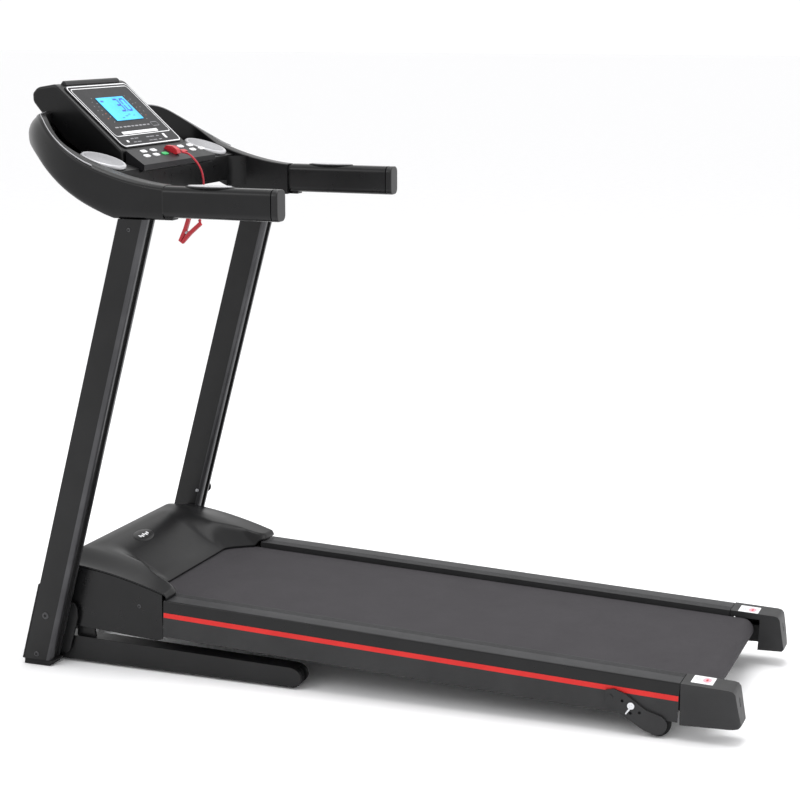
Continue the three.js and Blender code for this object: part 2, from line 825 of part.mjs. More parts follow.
function cordGeometry() {
  const path = new THREE.CatmullRomCurve3(cordRoute.map(([x, z]) => new THREE.Vector3(x, cordY, z)));
  const circle = shapeOf(arc(0, 0, cordRadius, 0, 315, 7));
  return new THREE.ExtrudeGeometry(circle, { steps: 36, extrudePath: path, bevelEnabled: false });
}

const clipPoint = (along, across) => [
  clip.x + along * Math.cos(clip.heading) + across * Math.sin(clip.heading),
  clip.z + along * Math.sin(clip.heading) - across * Math.cos(clip.heading),
];

function clipHalf(hand) {
  const outline = [
    [0, 0.3],
    [0, 6],
    [28, 10.5],
    [58, 18.5],
    [62, 11.5],
    [36, 4.4],
    [24, 1.1],
  ].map(([along, across]) => clipPoint(along, hand * across));
  return prismY(hand > 0 ? outline : outline.reverse(), cordY - clip.halfWidth, cordY + clip.halfWidth);
}

// ---------- handles ----------
function addHandle(name, side) {
  const { y, width, low, top, wall, seam, end, corner } = handle;
  const u0 = side * y - width / 2;
  const u1 = side * y + width / 2;
  const outer = roundedRect(u0, u1, low, top, corner);
  const inner = roundedRect(u0 + wall, u1 - wall, low + wall, top - wall, corner - wall).reverse();
  add(stand, `handle_${name}`, prismX(outer, shell.armEnd + GAP, seam, [inner]), plastic);
  const fit = wall + GAP;
  const plug = roundedRect(u0 + fit, u1 - fit, low + fit, top - fit, corner - wall);
  const cap = join(
    prismX(outer, seam + GAP, end - 4),
    prismX(roundedRect(u0 + 2.5, u1 - 2.5, low + 2.5, top - 2.5, corner - 2), end - 5, end),
    prismX(plug, seam - 12, seam + 2),
  );
  add(stand, `handle_cap_${name}`, cap, glossPlastic);
  const oval = [];
  const points = 24;
  for (let i = 0; i < points; i++) {
    const angle = (2 * Math.PI * i) / points;
    oval.push([-299 + 46 * Math.cos(angle), side * y + 16.5 * Math.sin(angle)]);
  }
  const plate = prismZ(oval, top + GAP, top + 3);
  const split = box(-300, -298, side * y - 20, side * y + 20, top + 2, top + 5);
  add(stand, `pulse_sensor_${name}`, cut(plate, split), silver);
}

function addSpeaker(name, side) {
  const profile = [
    [0, 0],
    [42, 0],
    [44, 3],
    [43, 7],
    [37, 8.6],
    [20, 9.6],
    [0, 10],
  ].map(([r, z]) => new THREE.Vector2(r, z));
  const dome = new THREE.LatheGeometry(profile, 36).rotateX(Math.PI / 2).scale(1.07, 1, 1);
  const mesh = add(stand, `speaker_${name}`, geometryOf(solid(dome)), silver);
  mesh.position.set(-567, side * 226, 1024.8);
  mesh.rotation.set(0, 16.9 * DEG, 0);
}

// ---------- assembly ----------
for (const [name, side] of SIDES) {
  addStand(name, side);
  add(deck, `side_rail_${name}`, railGeometry(side), plastic);
  add(deck, `end_cap_${name}`, endCapGeometry(side), plastic);
  add(stand, `side_cover_${name}`, sideCoverGeometry(side), plastic);
  addLeg(name, side);
  addHandle(name, side);
  addSpeaker(name, side);
}
add(stand, "base_crossbar", crossbarGeometry(), coat);
add(deck, "deck_frame", deckFrameGeometry(), coat);
add(
  deck,
  "running_board",
  box(board.front, board.rear, -board.halfWidth, board.halfWidth, board.top - board.thick + 0.2, board.top),
  wood,
);
add(deck, "running_belt", runningBeltGeometry(), beltRubber);
add(deck, "rear_roller", rollerGeometry(false), steel).position.set(roller.rearX, 0, roller.drop);
add(deck, "drive_roller", rollerGeometry(true), steel).position.set(roller.frontX, 0, roller.drop);
add(deck, "motor_body", motorGeometry(), steel);
add(deck, "motor_pulley", motorPulleyGeometry(), steel).position.set(motorLocal[0], 0, motorLocal[1]);
add(deck, "drive_belt", driveBeltGeometry(), rubber);
add(deck, "control_board", box(-640, -570, 60, 190, 2, 26), circuit);
add(stand, "motor_hood", hoodGeometry(), glossPlastic);

add(stand, "console_shell", consoleShellGeometry(), plastic);
add(stand, "console_deck", consoleDeckGeometry(), plastic);
add(stand, "display_pod", podGeometry(), plastic);
const panelOutline = roundedRect(-display.length, -2, -display.halfWidth, display.halfWidth, 12);
add(displayFrame, "display_panel", prismZ(panelOutline, GAP, 2.6), glossPlastic);
add(displayFrame, "lcd_window", prismZ(roundedRect(-143, -75, -57, 57, 2, 2), 3, 4), screen);
add(stand, "keypad_panel", keypadGeometry(), glossPlastic);
addKeys();
add(keypadFrame, "safety_key", safetyKeyGeometry(), redPlastic);
add(stand, "safety_cord", cordGeometry(), redPlastic);
add(stand, "clip_body", clipHalf(1), redPlastic);
add(stand, "clip_jaw", clipHalf(-1), redPlastic);

const lockPin = join(
  cylinderY(lock.x, lock.z, lock.radius, lock.tip, lock.outer - 2, 16),
  cylinderY(lock.x, lock.z, lock.knob, lock.neck, lock.outer, 24),
);
add(stand, "fold_lock_pin", lockPin, steel);

export default treadmill;
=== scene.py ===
"""Folding treadmill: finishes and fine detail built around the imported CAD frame.

Blender's objects are in metres. +X points to the rear end of the belt, -X to the console, -Y is the
runner's left and +Z is up. The numbers of the shapes are drawing millimetres: at() turns them into the
frame's metres, and puts the drawing's x = 0 at DATUM_X millimetres in the frame.
"""
import json
import math

import bmesh
import bpy
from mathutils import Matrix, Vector


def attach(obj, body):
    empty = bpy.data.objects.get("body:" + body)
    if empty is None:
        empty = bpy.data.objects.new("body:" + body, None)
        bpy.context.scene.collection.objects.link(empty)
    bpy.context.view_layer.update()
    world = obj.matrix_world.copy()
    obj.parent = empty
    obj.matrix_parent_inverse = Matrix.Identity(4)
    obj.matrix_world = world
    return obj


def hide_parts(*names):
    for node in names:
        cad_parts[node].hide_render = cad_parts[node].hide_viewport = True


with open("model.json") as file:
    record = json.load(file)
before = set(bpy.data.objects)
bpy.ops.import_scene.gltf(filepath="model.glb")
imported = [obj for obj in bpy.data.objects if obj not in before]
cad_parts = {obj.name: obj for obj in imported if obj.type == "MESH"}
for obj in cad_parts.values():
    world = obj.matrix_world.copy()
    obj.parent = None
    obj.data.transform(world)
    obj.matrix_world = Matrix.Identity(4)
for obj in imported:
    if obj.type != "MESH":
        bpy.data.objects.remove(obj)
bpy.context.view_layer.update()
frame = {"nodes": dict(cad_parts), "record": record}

MM = 0.001
DATUM_X = 32.5
SIDES = (("left", -1), ("right", 1))
BODY_OF = {node: body for body, nodes in frame["record"]["behaviour"]["bodies"].items() for node in nodes}


# ---------- places ----------
def at(x, y, z):
    return Vector(((x + DATUM_X) * MM, y * MM, z * MM))


def turned(origin_x, origin_z, angle):
    """A local frame turned about Y: its own millimetres in, the row frame's metres out."""
    c, s = math.cos(angle), math.sin(angle)
    return lambda x, y, z: at(origin_x + x * c + z * s, y, origin_z - x * s + z * c)


DECK_TOP, DECK_SLOPE = 135, 0.03998
on_deck = turned(0, DECK_TOP, DECK_SLOPE)
on_face = turned(-571, 1044, math.radians(41.6))
on_keypad = turned(-510, 1017, math.radians(24.9))


# ---------- camera ----------
AZIMUTH, ELEVATION = math.radians(20.538), math.radians(11.3296)
FOCAL_PX, FRAME_PX, SENSOR_MM = 1925.43, 800, 36
CAMERA_PLACE = (1.3160 + DATUM_X * MM, -3.5857, 1.3111)
camera_data = bpy.data.cameras.new("camera")
camera_data.sensor_width = SENSOR_MM
camera_data.lens = FOCAL_PX * SENSOR_MM / FRAME_PX
camera = bpy.data.objects.new("camera", camera_data)
camera.location = CAMERA_PLACE
camera.rotation_euler = (math.pi / 2 - ELEVATION, 0, AZIMUTH)
bpy.context.collection.objects.link(camera)
bpy.context.scene.camera = camera


# ---------- materials ----------
def srgb(r, g, b):
    def linear(v):
        v /= 255
        return v / 12.92 if v <= 0.04045 else ((v + 0.055) / 1.055) ** 2.4

    return (linear(r), linear(g), linear(b), 1)


# A colour Mix node's own sockets; its first few are for numbers and vectors.
MIX_A, MIX_B, MIX_RESULT = 6, 7, 2
SLOW_NOISE, SLOW_DETAIL = 14, 3
UNEVEN_NOISE, UNEVEN_DETAIL = 55, 4
TONES_FROM, TONES_TO = 0.32, 0.68


class Look:
    """A procedural material: two tones mixed by slow noise, uneven roughness, and a fine bump."""

    def __init__(self, name, dark, light, rough, metal=0.0, specular=0.5):
        self.material = bpy.data.materials.new(name)
        self.material.use_nodes = True
        self.tree = self.material.node_tree
        self.shader = self.tree.nodes["Principled BSDF"]
        self.shader.inputs["Metallic"].default_value = metal
        self.shader.inputs["Specular IOR Level"].default_value = specular
        self.place = self.node("ShaderNodeTexCoord").outputs["Object"]
        slow = self.noise(SLOW_NOISE, SLOW_DETAIL)
        tones = self.node("ShaderNodeValToRGB")
        first, second = tones.color_ramp.elements
        first.position, first.color = TONES_FROM, dark
        second.position, second.color = TONES_TO, light
        self.link(slow, tones.inputs["Fac"])
        self.colour = tones.outputs["Color"]
        self.link(self.colour, self.shader.inputs["Base Color"])
        uneven = self.node("ShaderNodeMapRange")
        uneven.inputs["To Min"].default_value = rough[0]
        uneven.inputs["To Max"].default_value = rough[1]
        self.link(self.noise(UNEVEN_NOISE, UNEVEN_DETAIL), uneven.inputs["Value"])
        self.link(uneven.outputs["Result"], self.shader.inputs["Roughness"])
        self.height = None

    def node(self, kind, **values):
        made = self.tree.nodes.new(kind)
        for key, value in values.items():
            setattr(made, key, value)
        return made

    def link(self, out, into):
        self.tree.links.new(out, into)

    def stretched(self, scale):
        mapping = self.node("ShaderNodeMapping")
        mapping.inputs["Scale"].default_value = scale
        self.link(self.place, mapping.inputs["Vector"])
        return mapping.outputs["Vector"]

    def noise(self, scale, detail, stretch=None):
        made = self.node("ShaderNodeTexNoise")
        made.inputs["Scale"].default_value = scale
        made.inputs["Detail"].default_value = detail
        self.link(self.stretched(stretch) if stretch else self.place, made.inputs["Vector"])
        return made.outputs["Fac"]

    def math(self, operation, a, b):
        made = self.node("ShaderNodeMath", operation=operation)
        for value, socket in ((a, made.inputs[0]), (b, made.inputs[1])):
            if isinstance(value, (int, float)):
                socket.default_value = value
            else:
                self.link(value, socket)
        return made.outputs["Value"]

    def bump(self, height, strength, distance):
        made = self.node("ShaderNodeBump")
        made.inputs["Strength"].default_value = strength
        made.inputs["Distance"].default_value = distance
        self.link(height, made.inputs["Height"])
        if self.height:
            self.link(self.height, made.inputs["Normal"])
        self.height = made.outputs["Normal"]
        self.link(self.height, self.shader.inputs["Normal"])
        return self

    def grain(self, scale, strength, distance=0.0002, stretch=None):
        return self.bump(self.noise(scale, 2, stretch), strength, distance)

    def weave(self, pitch):
        """Fine crossed cords, pitch metres apart."""
        split = self.node("ShaderNodeSeparateXYZ")
        self.link(self.place, split.inputs["Vector"])
        turns = 2 * math.pi / pitch
        plus = self.math("ADD", split.outputs["X"], split.outputs["Y"])
        minus = self.math("SUBTRACT", split.outputs["X"], split.outputs["Y"])
        across = self.math("SINE", self.math("MULTIPLY", plus, turns), 0)
        along = self.math("SINE", self.math("MULTIPLY", minus, turns), 0)
        return self.bump(self.math("MULTIPLY", across, along), 0.35, pitch * 0.25)

    def dots(self, pitch, hole, colour):
        """Round perforations in a square grid, pitch metres apart, darkened and sunk."""
        cell = self.node("ShaderNodeVectorMath", operation="SCALE")
        cell.inputs["Scale"].default_value = 1 / pitch
        self.link(self.place, cell.inputs[0])
        split = self.node("ShaderNodeSeparateXYZ")
        self.link(cell.outputs["Vector"], split.inputs["Vector"])
        offsets = []
        for axis in "XY":
            part = self.math("FRACT", split.outputs[axis], 0)
            offsets.append(self.math("SUBTRACT", part, 0.5))
        squares = [self.math("MULTIPLY", offset, offset) for offset in offsets]
        reach = self.math("SQRT", self.math("ADD", *squares), 0)
        inside = self.math("LESS_THAN", reach, hole)
        blend = self.node("ShaderNodeMix", data_type="RGBA")
        self.link(inside, blend.inputs["Factor"])
        self.link(self.colour, blend.inputs[MIX_A])
        blend.inputs[MIX_B].default_value = colour
        self.link(blend.outputs[MIX_RESULT], self.shader.inputs["Base Color"])
        return self.bump(self.math("SUBTRACT", 1, inside), 0.5, 0.0005)

    def glow(self, colour, strength):
        self.shader.inputs["Emission Color"].default_value = colour
        self.shader.inputs["Emission Strength"].default_value = strength
        return self


def look(name, dark, light, rough, metal=0.0, specular=0.5):
    return Look(name, srgb(*dark), srgb(*light), rough, metal, specular)


powder = look("powder_coat", (13, 13, 14), (20, 20, 21), (0.34, 0.46), 0.0, 0.3)
powder.grain(1500, 0.25, 0.00012).grain(320, 0.06, 0.0003)
moulded = look("moulded_plastic", (13, 13, 14), (18, 18, 19), (0.24, 0.34), 0.0, 0.28)
moulded.grain(2600, 0.25, 0.0001)
side_panel = look("panel_plastic", (36, 36, 37), (43, 43, 44), (0.42, 0.56), 0.0, 0.3)
side_panel.grain(900, 0.12, 0.0001, (0.08, 1, 1))
rail_top = look("rail_plastic", (38, 38, 40), (46, 46, 48), (0.42, 0.56), 0.0, 0.3)
rail_top.grain(1800, 0.3, 0.00012)
hood_gloss = look("hood_plastic", (19, 19, 20), (24, 24, 25), (0.28, 0.36), 0.0, 0.22)
hood_gloss.grain(1200, 0.03, 0.00005)
panel_gloss = look("panel_film", (30, 30, 32), (36, 36, 38), (0.34, 0.44), 0.0, 0.22)
panel_gloss.grain(1500, 0.08, 0.0001)
dark_gloss = look("cap_plastic", (16, 16, 17), (22, 22, 23), (0.25, 0.38), 0.0, 0.35)
dark_gloss.grain(1400, 0.1, 0.0001)
# Lighter and part metallic: the screw heads' own metal, and a painted highlight on the uprights' rounded rear
# corners.
metal_and_painted_highlight = look("metal_and_painted_highlight", (60, 60, 62), (74, 74, 76), (0.26, 0.36), 0.55, 0.4)
metal_and_painted_highlight.grain(1200, 0.2, 0.00012)
shadow_black = look("shadow_black", (9, 9, 10), (14, 14, 15), (0.6, 0.8)).grain(900, 0.2, 0.0002)
belt_look = look("belt_weave", (58, 56, 59), (61, 59, 62), (0.78, 0.92), 0.0, 0.25)
belt_look.weave(0.0022).grain(1800, 0.35, 0.00025)
belt_look.grain(45, 0.04, 0.001, (1, 0.2, 1))
steel = look("turned_steel", (150, 151, 155), (178, 179, 182), (0.2, 0.34), 1.0)
steel.grain(700, 0.15, 0.0001, (1, 0.05, 1))
bright_pin = look("pin_steel", (196, 197, 200), (224, 225, 228), (0.16, 0.28), 0.8).grain(500, 0.06, 0.0001)
rubber = look("black_rubber", (20, 20, 21), (28, 28, 29), (0.72, 0.9), 0.0, 0.3).grain(700, 0.4, 0.0003)
red_gloss = look("red_plastic", (164, 18, 32), (186, 26, 40), (0.25, 0.38)).grain(1200, 0.08, 0.0001)
red_line = look("red_stripe", (196, 30, 28), (208, 38, 34), (0.35, 0.48), 0.0, 0.3).grain(1500, 0.12, 0.0001)
red_cord = look("red_cord", (150, 24, 40), (180, 38, 52), (0.35, 0.5)).grain(900, 0.4, 0.0003)
white_key = look("white_key", (214, 214, 216), (228, 228, 230), (0.35, 0.48)).grain(1600, 0.12, 0.0001)
green_key = look("green_key", (30, 150, 80), (44, 172, 96), (0.35, 0.48)).grain(1600, 0.12, 0.0001)
white_print = look("white_print", (222, 222, 224), (236, 236, 238), (0.45, 0.6)).grain(2000, 0.08, 0.00005)
grey_print = look("grey_print", (128, 128, 132), (150, 150, 154), (0.45, 0.6)).grain(2000, 0.08, 0.00005)
amber_print = look("amber_print", (176, 92, 60), (192, 104, 66), (0.45, 0.6)).grain(2000, 0.08, 0.00005)
pink_print = look("pink_print", (232, 150, 164), (240, 166, 178), (0.45, 0.6)).grain(2000, 0.08, 0.00005)
# A light grey for the console's edge bead: a painted highlight along the band's inner top edge.
edge_highlight_paint = look("painted_highlight_line", (150, 150, 153), (168, 168, 171), (0.3, 0.42), 0.2)
edge_highlight_paint.grain(1500, 0.1, 0.0001)
silver = look("silver_plate", (176, 176, 179), (194, 194, 197), (0.26, 0.38), 0.2).grain(1500, 0.1, 0.0001)
mesh_look = look("speaker_mesh", (150, 150, 153), (168, 168, 171), (0.4, 0.5), 0.2)
mesh_look.dots(0.0026, 0.3, srgb(126, 126, 130))
screen = look("lit_screen", (46, 158, 214), (68, 184, 232), (0.15, 0.25), 0.0, 0.3).grain(2500, 0.03, 0.00005)
screen.glow(srgb(70, 190, 250), 0.3)
digit_blue = look("screen_digits", (14, 58, 168), (22, 74, 190), (0.3, 0.4)).grain(2500, 0.03, 0.00005)
board_wood = look("board_laminate", (26, 25, 25), (34, 32, 31), (0.5, 0.65))
board_wood.grain(60, 0.2, 0.0004, (0.06, 1, 1))
circuit = look("circuit_board", (20, 78, 46), (28, 92, 56), (0.35, 0.5)).grain(300, 0.2, 0.0002)
floor_look = look("studio_floor", (249, 249, 250), (251, 251, 252), (0.8, 0.9), 0.0, 0.1)
floor_look.grain(30, 0.02, 0.0005)


# ---------- mesh tools ----------
def loop_faces(count, start=0):
    return [(start + i, start + (i + 1) % count, start + (i + 1) % count + count, start + i + count)
            for i in range(count)]


def prism(outline, low, high, place):
    """A closed solid: the outline (u, v) carried along w from low to high, put in place by place(u, v, w)."""
    n = len(outline)
    verts = [place(u, v, low) for u, v in outline] + [place(u, v, high) for u, v in outline]
    caps = [tuple(range(n)), tuple(range(2 * n - 1, n - 1, -1))]
    return verts, caps + loop_faces(n)


def frame_prism(outer, inner, low, high, place):
    """A closed ring: the band between two outlines of equal point count, from low to high."""
    n = len(outer)
    levels = ((outer, low), (outer, high), (inner, high), (inner, low))
    verts = [place(u, v, w) for ring, w in levels for u, v in ring]
    faces = []
    for k in range(4):
        a, b = k * n, ((k + 1) % 4) * n
        faces += [(a + i, a + (i + 1) % n, b + (i + 1) % n, b + i) for i in range(n)]
    return verts, faces


def loft(rings):
    """A closed solid through rings of equal point count."""
    n = len(rings[0])
    verts = [point for ring in rings for point in ring]
    faces = []
    for r in range(len(rings) - 1):
        faces += loop_faces(n, r * n)
    last = (len(rings) - 1) * n
    faces += [tuple(range(n)), tuple(range(last + n - 1, last - 1, -1))]
    return verts, faces


def arc(cx, cy, radius, start, end, steps):
    turn = [math.radians(start + (end - start) * i / steps) for i in range(steps + 1)]
    return [(cx + radius * math.cos(a), cy + radius * math.sin(a)) for a in turn]


def rounded(u0, u1, v0, v1, radius, steps=6):
    return (arc(u1 - radius, v0 + radius, radius, -90, 0, steps)
            + arc(u1 - radius, v1 - radius, radius, 0, 90, steps)
            + arc(u0 + radius, v1 - radius, radius, 90, 180, steps)
            + arc(u0 + radius, v0 + radius, radius, 180, 270, steps))


def oval(u, v, ru, rv, steps=40):
    turns = [2 * math.pi * i / steps for i in range(steps)]
    return [(u + ru * math.cos(a), v + rv * math.sin(a)) for a in turns]


NEW_WELD, CAD_WELD = 2e-6, 5e-6
CAD_FLAT = math.radians(0.8)


def close_mesh(work, mesh):
    work.to_mesh(mesh)
    work.free()
    mesh.polygons.foreach_set("use_smooth", [True] * len(mesh.polygons))


def finish_mesh(mesh):
    work = bmesh.new()
    work.from_mesh(mesh)
    bmesh.ops.remove_doubles(work, verts=work.verts, dist=NEW_WELD)
    bmesh.ops.recalc_face_normals(work, faces=work.faces)
    close_mesh(work, mesh)


def soften(obj, width, segments, angle):
    """Rounds the sharp edges and keeps the flats flat."""
    if width:
        bevel = obj.modifiers.new("round_edges", "BEVEL")
        bevel.width = width * MM
        bevel.segments = segments
        bevel.limit_method = "ANGLE"
        bevel.angle_limit = math.radians(angle)
        bevel.use_clamp_overlap = True
        normals = obj.modifiers.new("flat_faces", "WEIGHTED_NORMAL")
        normals.keep_sharp = True
    else:
        obj.data.set_sharp_from_angle(angle=math.radians(angle))


def piece(name, parts, look_of, body, bevel=0.0, segments=2, angle=30, replaces=()):
    """One object from (verts, faces) parts, each with its own list of face slots if it has a third item.

    look_of is a Look, or one Look for each part.
    """
    looks = list(look_of) if isinstance(look_of, (list, tuple)) else [look_of]
    verts, faces, slots = [], [], []
    for index, (part_verts, part_faces, *own_slots) in enumerate(parts):
        base = len(verts)
        verts += part_verts
        faces += [tuple(base + i for i in face) for face in part_faces]
        slots += own_slots[0] if own_slots else [min(index, len(looks) - 1)] * len(part_faces)
    mesh = bpy.data.meshes.new(name)
    mesh.from_pydata(verts, [], faces)
    for one in looks:
        mesh.materials.append(one.material)
    mesh.polygons.foreach_set("material_index", slots)
    finish_mesh(mesh)
    obj = bpy.data.objects.new(name, mesh)
    bpy.context.collection.objects.link(obj)
    soften(obj, bevel, segments, angle)
    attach(obj, body)
    if replaces:
        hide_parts(*replaces)
    return obj


def refine(node, width, one_look, segments=2, angle=30):
    """The CAD node's own shape with rounded edges and a finish, standing in for the node."""
    mesh = frame["nodes"][node].data.copy()
    mesh.materials.clear()
    mesh.materials.append(one_look.material)
    work = bmesh.new()
    work.from_mesh(mesh)
    bmesh.ops.remove_doubles(work, verts=work.verts, dist=CAD_WELD)
    bmesh.ops.dissolve_limit(work, angle_limit=CAD_FLAT, verts=work.verts, edges=work.edges)
    for face in work.faces:
        face.material_index = 0
    close_mesh(work, mesh)
    obj = bpy.data.objects.new(node + "_finish", mesh)
    bpy.context.collection.objects.link(obj)
    soften(obj, width, segments, angle)
    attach(obj, BODY_OF[node])
    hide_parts(node)
    return obj


# ---------- safety cord ----------
CORD_Y, CORD_RADIUS = 18, 2
CORD_ROUTE = [
    (-517.2, 1030.6), (-510.6, 1029.8), (-504.9, 1028.6), (-499.8, 1026.2), (-494.6, 1022.2),
    (-488.9, 1016.8), (-483, 1010.4), (-477.5, 1002.8), (-473.3, 994.2), (-470.5, 985), (-469, 975.5),
    (-468.5, 966), (-468.7, 956), (-469.4, 945.3), (-470.5, 934.7), (-472.1, 924), (-474.1, 913.3),
    (-476.3, 903.7), (-478.7, 895.4), (-479.3, 889.6),
]
curve = bpy.data.curves.new("safety_cord_soft", "CURVE")
curve.dimensions = "3D"
curve.bevel_depth = CORD_RADIUS * MM
curve.bevel_resolution = 5
curve.use_fill_caps = True
spline = curve.splines.new("POLY")
route = []
for (x0, z0), (x1, z1) in zip(CORD_ROUTE, CORD_ROUTE[1:]):
    route += [(x0, z0), ((x0 + x1) / 2, (z0 + z1) / 2)]
route.append(CORD_ROUTE[-1])
spline.points.add(len(route) - 1)
for point, (x, z) in zip(spline.points, route):
    point.co = (*at(x, CORD_Y, z), 1)
cord = bpy.data.objects.new("safety_cord_soft", curve)
curve.materials.append(red_cord.material)
bpy.context.collection.objects.link(cord)
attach(cord, "safety_key")
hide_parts("safety_cord")


clips = [refine(node, 0.7, red_gloss) for node in ("clip_body", "clip_jaw")]


# ---------- shared shapes ----------
def mix(a, b, t):
    return a + (b - a) * t


def smooth(low, high, value):
    t = min(1, max(0, (value - low) / (high - low)))
    return t * t * (3 - 2 * t)


def soft_min(a, b, width):
    h = min(1, max(0, 0.5 + 0.5 * (b - a) / width))
    return mix(b, a, h) - width * h * (1 - h)


def lathe(profile, stretch, place, segments=56):
    """A closed turned solid from (radius, height) points that start and end on the axis."""
    rings, verts, faces = [], [], []
    for radius, height in profile:
        if radius == 0:
            rings.append([len(verts)] * segments)
            verts.append(place(0, 0, height))
            continue
        rings.append([len(verts) + i for i in range(segments)])
        for i in range(segments):
            a = 2 * math.pi * i / segments
            verts.append(place(stretch * radius * math.cos(a), radius * math.sin(a), height))
    for low, high in zip(rings, rings[1:]):
        for i in range(segments):
            j = (i + 1) % segments
            corners = list(dict.fromkeys((low[i], low[j], high[j], high[i])))
            if len(corners) > 2:
                faces.append(tuple(corners))
    return verts, faces


def block(u0, u1, v0, v1, w0, w1, place):
    return prism([(u0, v0), (u1, v0), (u1, v1), (u0, v1)], w0, w1, place)


def screw(name, place, radius, body, head=2.0):
    """A button head with a hexagonal socket, standing off the surface z = 0 of place."""
    dome = [(0, -0.5), (radius, -0.5), (radius, head * 0.35), (radius * 0.82, head * 0.8),
            (radius * 0.5, head), (radius * 0.5, head * 0.4), (0, head * 0.4)]
    # The hexagonal socket is a near-black plug sunk in the head: painted shade in the recess.
    hexagon = oval(0, 0, radius * 0.46, radius * 0.46, 6)
    parts = [lathe(dome, 1, place, 28), prism(hexagon, head * 0.38, head * 0.55, place)]
    return piece(name, parts, [metal_and_painted_highlight, shadow_black], body, angle=40)


# ---------- clip details ----------
CLIP_X, CLIP_Z, CLIP_HEADING = -523.5, 843, math.atan2(0.8254, 0.5645)


KNOT_X, KNOT_Z = CORD_ROUTE[-1]
KNOT_RADIUS, RIVET_ALONG = 3.4, 25
RIVET_PROFILE = [(0, -5.2), (2.6, -5.2), (3, -4.6), (3, 4.6), (2.6, 5.2), (0, 5.2)]


def on_knot(u, v, w):
    return at(KNOT_X + u, CORD_Y + v, KNOT_Z + w)


def on_rivet(u, v, w):
    c, s = math.cos(CLIP_HEADING), math.sin(CLIP_HEADING)
    along = RIVET_ALONG + u
    return at(CLIP_X + along * c + v * s, CORD_Y + w, CLIP_Z + along * s - v * c)


def ball(radius, steps=10):
    turns = [math.pi * k / steps for k in range(1, steps)]
    middle = [(radius * math.sin(turn), -radius * math.cos(turn)) for turn in turns]
    return [(0, -radius)] + middle + [(0, radius)]


piece("cord_knot", [lathe(ball(KNOT_RADIUS), 1, on_knot, 20)], red_cord, "safety_key",
      angle=60)
piece("clip_rivet", [lathe(RIVET_PROFILE, 1, on_rivet, 20)], steel, "safety_key",
      angle=40)

# ---------- uprights ----------
UPRIGHT_MID, UPRIGHT_OUTER, UPRIGHT_LEAN = 291.5, 314, 0.271
UPRIGHT_FOOT, UPRIGHT_BOTTOM, UPRIGHT_TOP = -741, 12, 925.4
UPRIGHT_SCREWS = ((-682, 108, 7), (-706, 24, 5.5), (-466, 905, 4))
SLEEVE_TOP, SLEEVE_PROUD, SLEEVE_HALF = 174, 2.5, 22.4
SLEEVE = [(-SLEEVE_PROUD, -SLEEVE_HALF), (1, -SLEEVE_HALF), (1, SLEEVE_HALF), (-SLEEVE_PROUD, SLEEVE_HALF)]
PAINTED, HIGHLIGHT_PAINT, SHADE_PAINT = 0, 1, 2
corner_a = arc(3, -19.5, 3, 180, 270, 3)
corner_b = arc(53, -12.5, 10, 270, 360, 10)
corner_c = arc(53, 12.5, 10, 0, 90, 10)
corner_d = arc(3, 19.5, 3, 90, 180, 3)
groove = [(63, -9), (57.5, -9), (57.5, 9), (63, 9)]
section = corner_a + corner_b + groove + corner_c + corner_d
highlight_from = len(corner_a)
groove_from = highlight_from + len(corner_b)
for name, side in SIDES:
    def on_upright(d, w, z, side=side):
        return at(UPRIGHT_FOOT + UPRIGHT_LEAN * z + d, side * UPRIGHT_MID + w, z)

    verts, faces = prism(section, UPRIGHT_BOTTOM, UPRIGHT_TOP, on_upright)
    # The rounded rear corners and the rear face beside the groove take the lighter finish, a painted
    # highlight where they catch the light; the groove is near-black, painted shade in the recess.
    slots = [PAINTED, PAINTED]
    for i in range(len(section)):
        in_groove = groove_from <= i < groove_from + len(groove) - 1
        on_highlight = highlight_from <= i < groove_from + len(groove) + len(corner_c) - 1
        slots.append(SHADE_PAINT if in_groove else HIGHLIGHT_PAINT if on_highlight else PAINTED)
    piece("upright_%s_finish" % name, [(verts, faces, slots)], (powder, metal_and_painted_highlight, shadow_black),
          "stand", replaces=("upright_" + name,), angle=24)
    piece("upright_sleeve_" + name, [prism(SLEEVE, UPRIGHT_BOTTOM, SLEEVE_TOP, on_upright)],
          powder, "stand", bevel=0.8)
for name, side in SIDES:
    for index, (x, z, radius) in enumerate(UPRIGHT_SCREWS):
        def on_side(u, v, w, x=x, z=z, side=side):
            return at(x + u, side * (UPRIGHT_OUTER + w), z + v)

        screw("upright_screw_%s_%d" % (name, index), on_side, radius, "stand")

GUSSET = [(-676, 20), (-658, 20), (-650, 28), (-630, 98), (-631, 118), (-638, 128), (-648, 130)]
GUSSET_INNER, GUSSET_OUTER = 270.4, 275.4
for name, side in SIDES:
    refine("base_tube_" + name, 1.6, powder)
    refine("front_foot_" + name, 1.2, rubber)
    refine("transport_wheel_" + name, 2.2, rubber, 3)

    def on_gusset(u, v, w, side=side):
        return at(u, side * w, v)

    piece("foot_gusset_" + name, [prism(GUSSET, GUSSET_INNER, GUSSET_OUTER, on_gusset)], powder, "stand",
          bevel=0.8)
refine("base_crossbar", 1.2, powder)
refine("fold_lock_pin", 0.8, steel)

LOCK_X, LOCK_Z, BUSH_RADIUS, BUSH_HOLE = -625, 240, 13, 8.6


def on_lock(u, v, w):
    return at(LOCK_X + u, UPRIGHT_OUTER + w, LOCK_Z + v)


bush_rings = [oval(0, 0, radius, radius, 32) for radius in (BUSH_RADIUS, BUSH_HOLE)]
bush = frame_prism(*bush_rings, -1, 1.8, on_lock)
piece("lock_bush", [bush], dark_gloss, "stand", bevel=0.6)

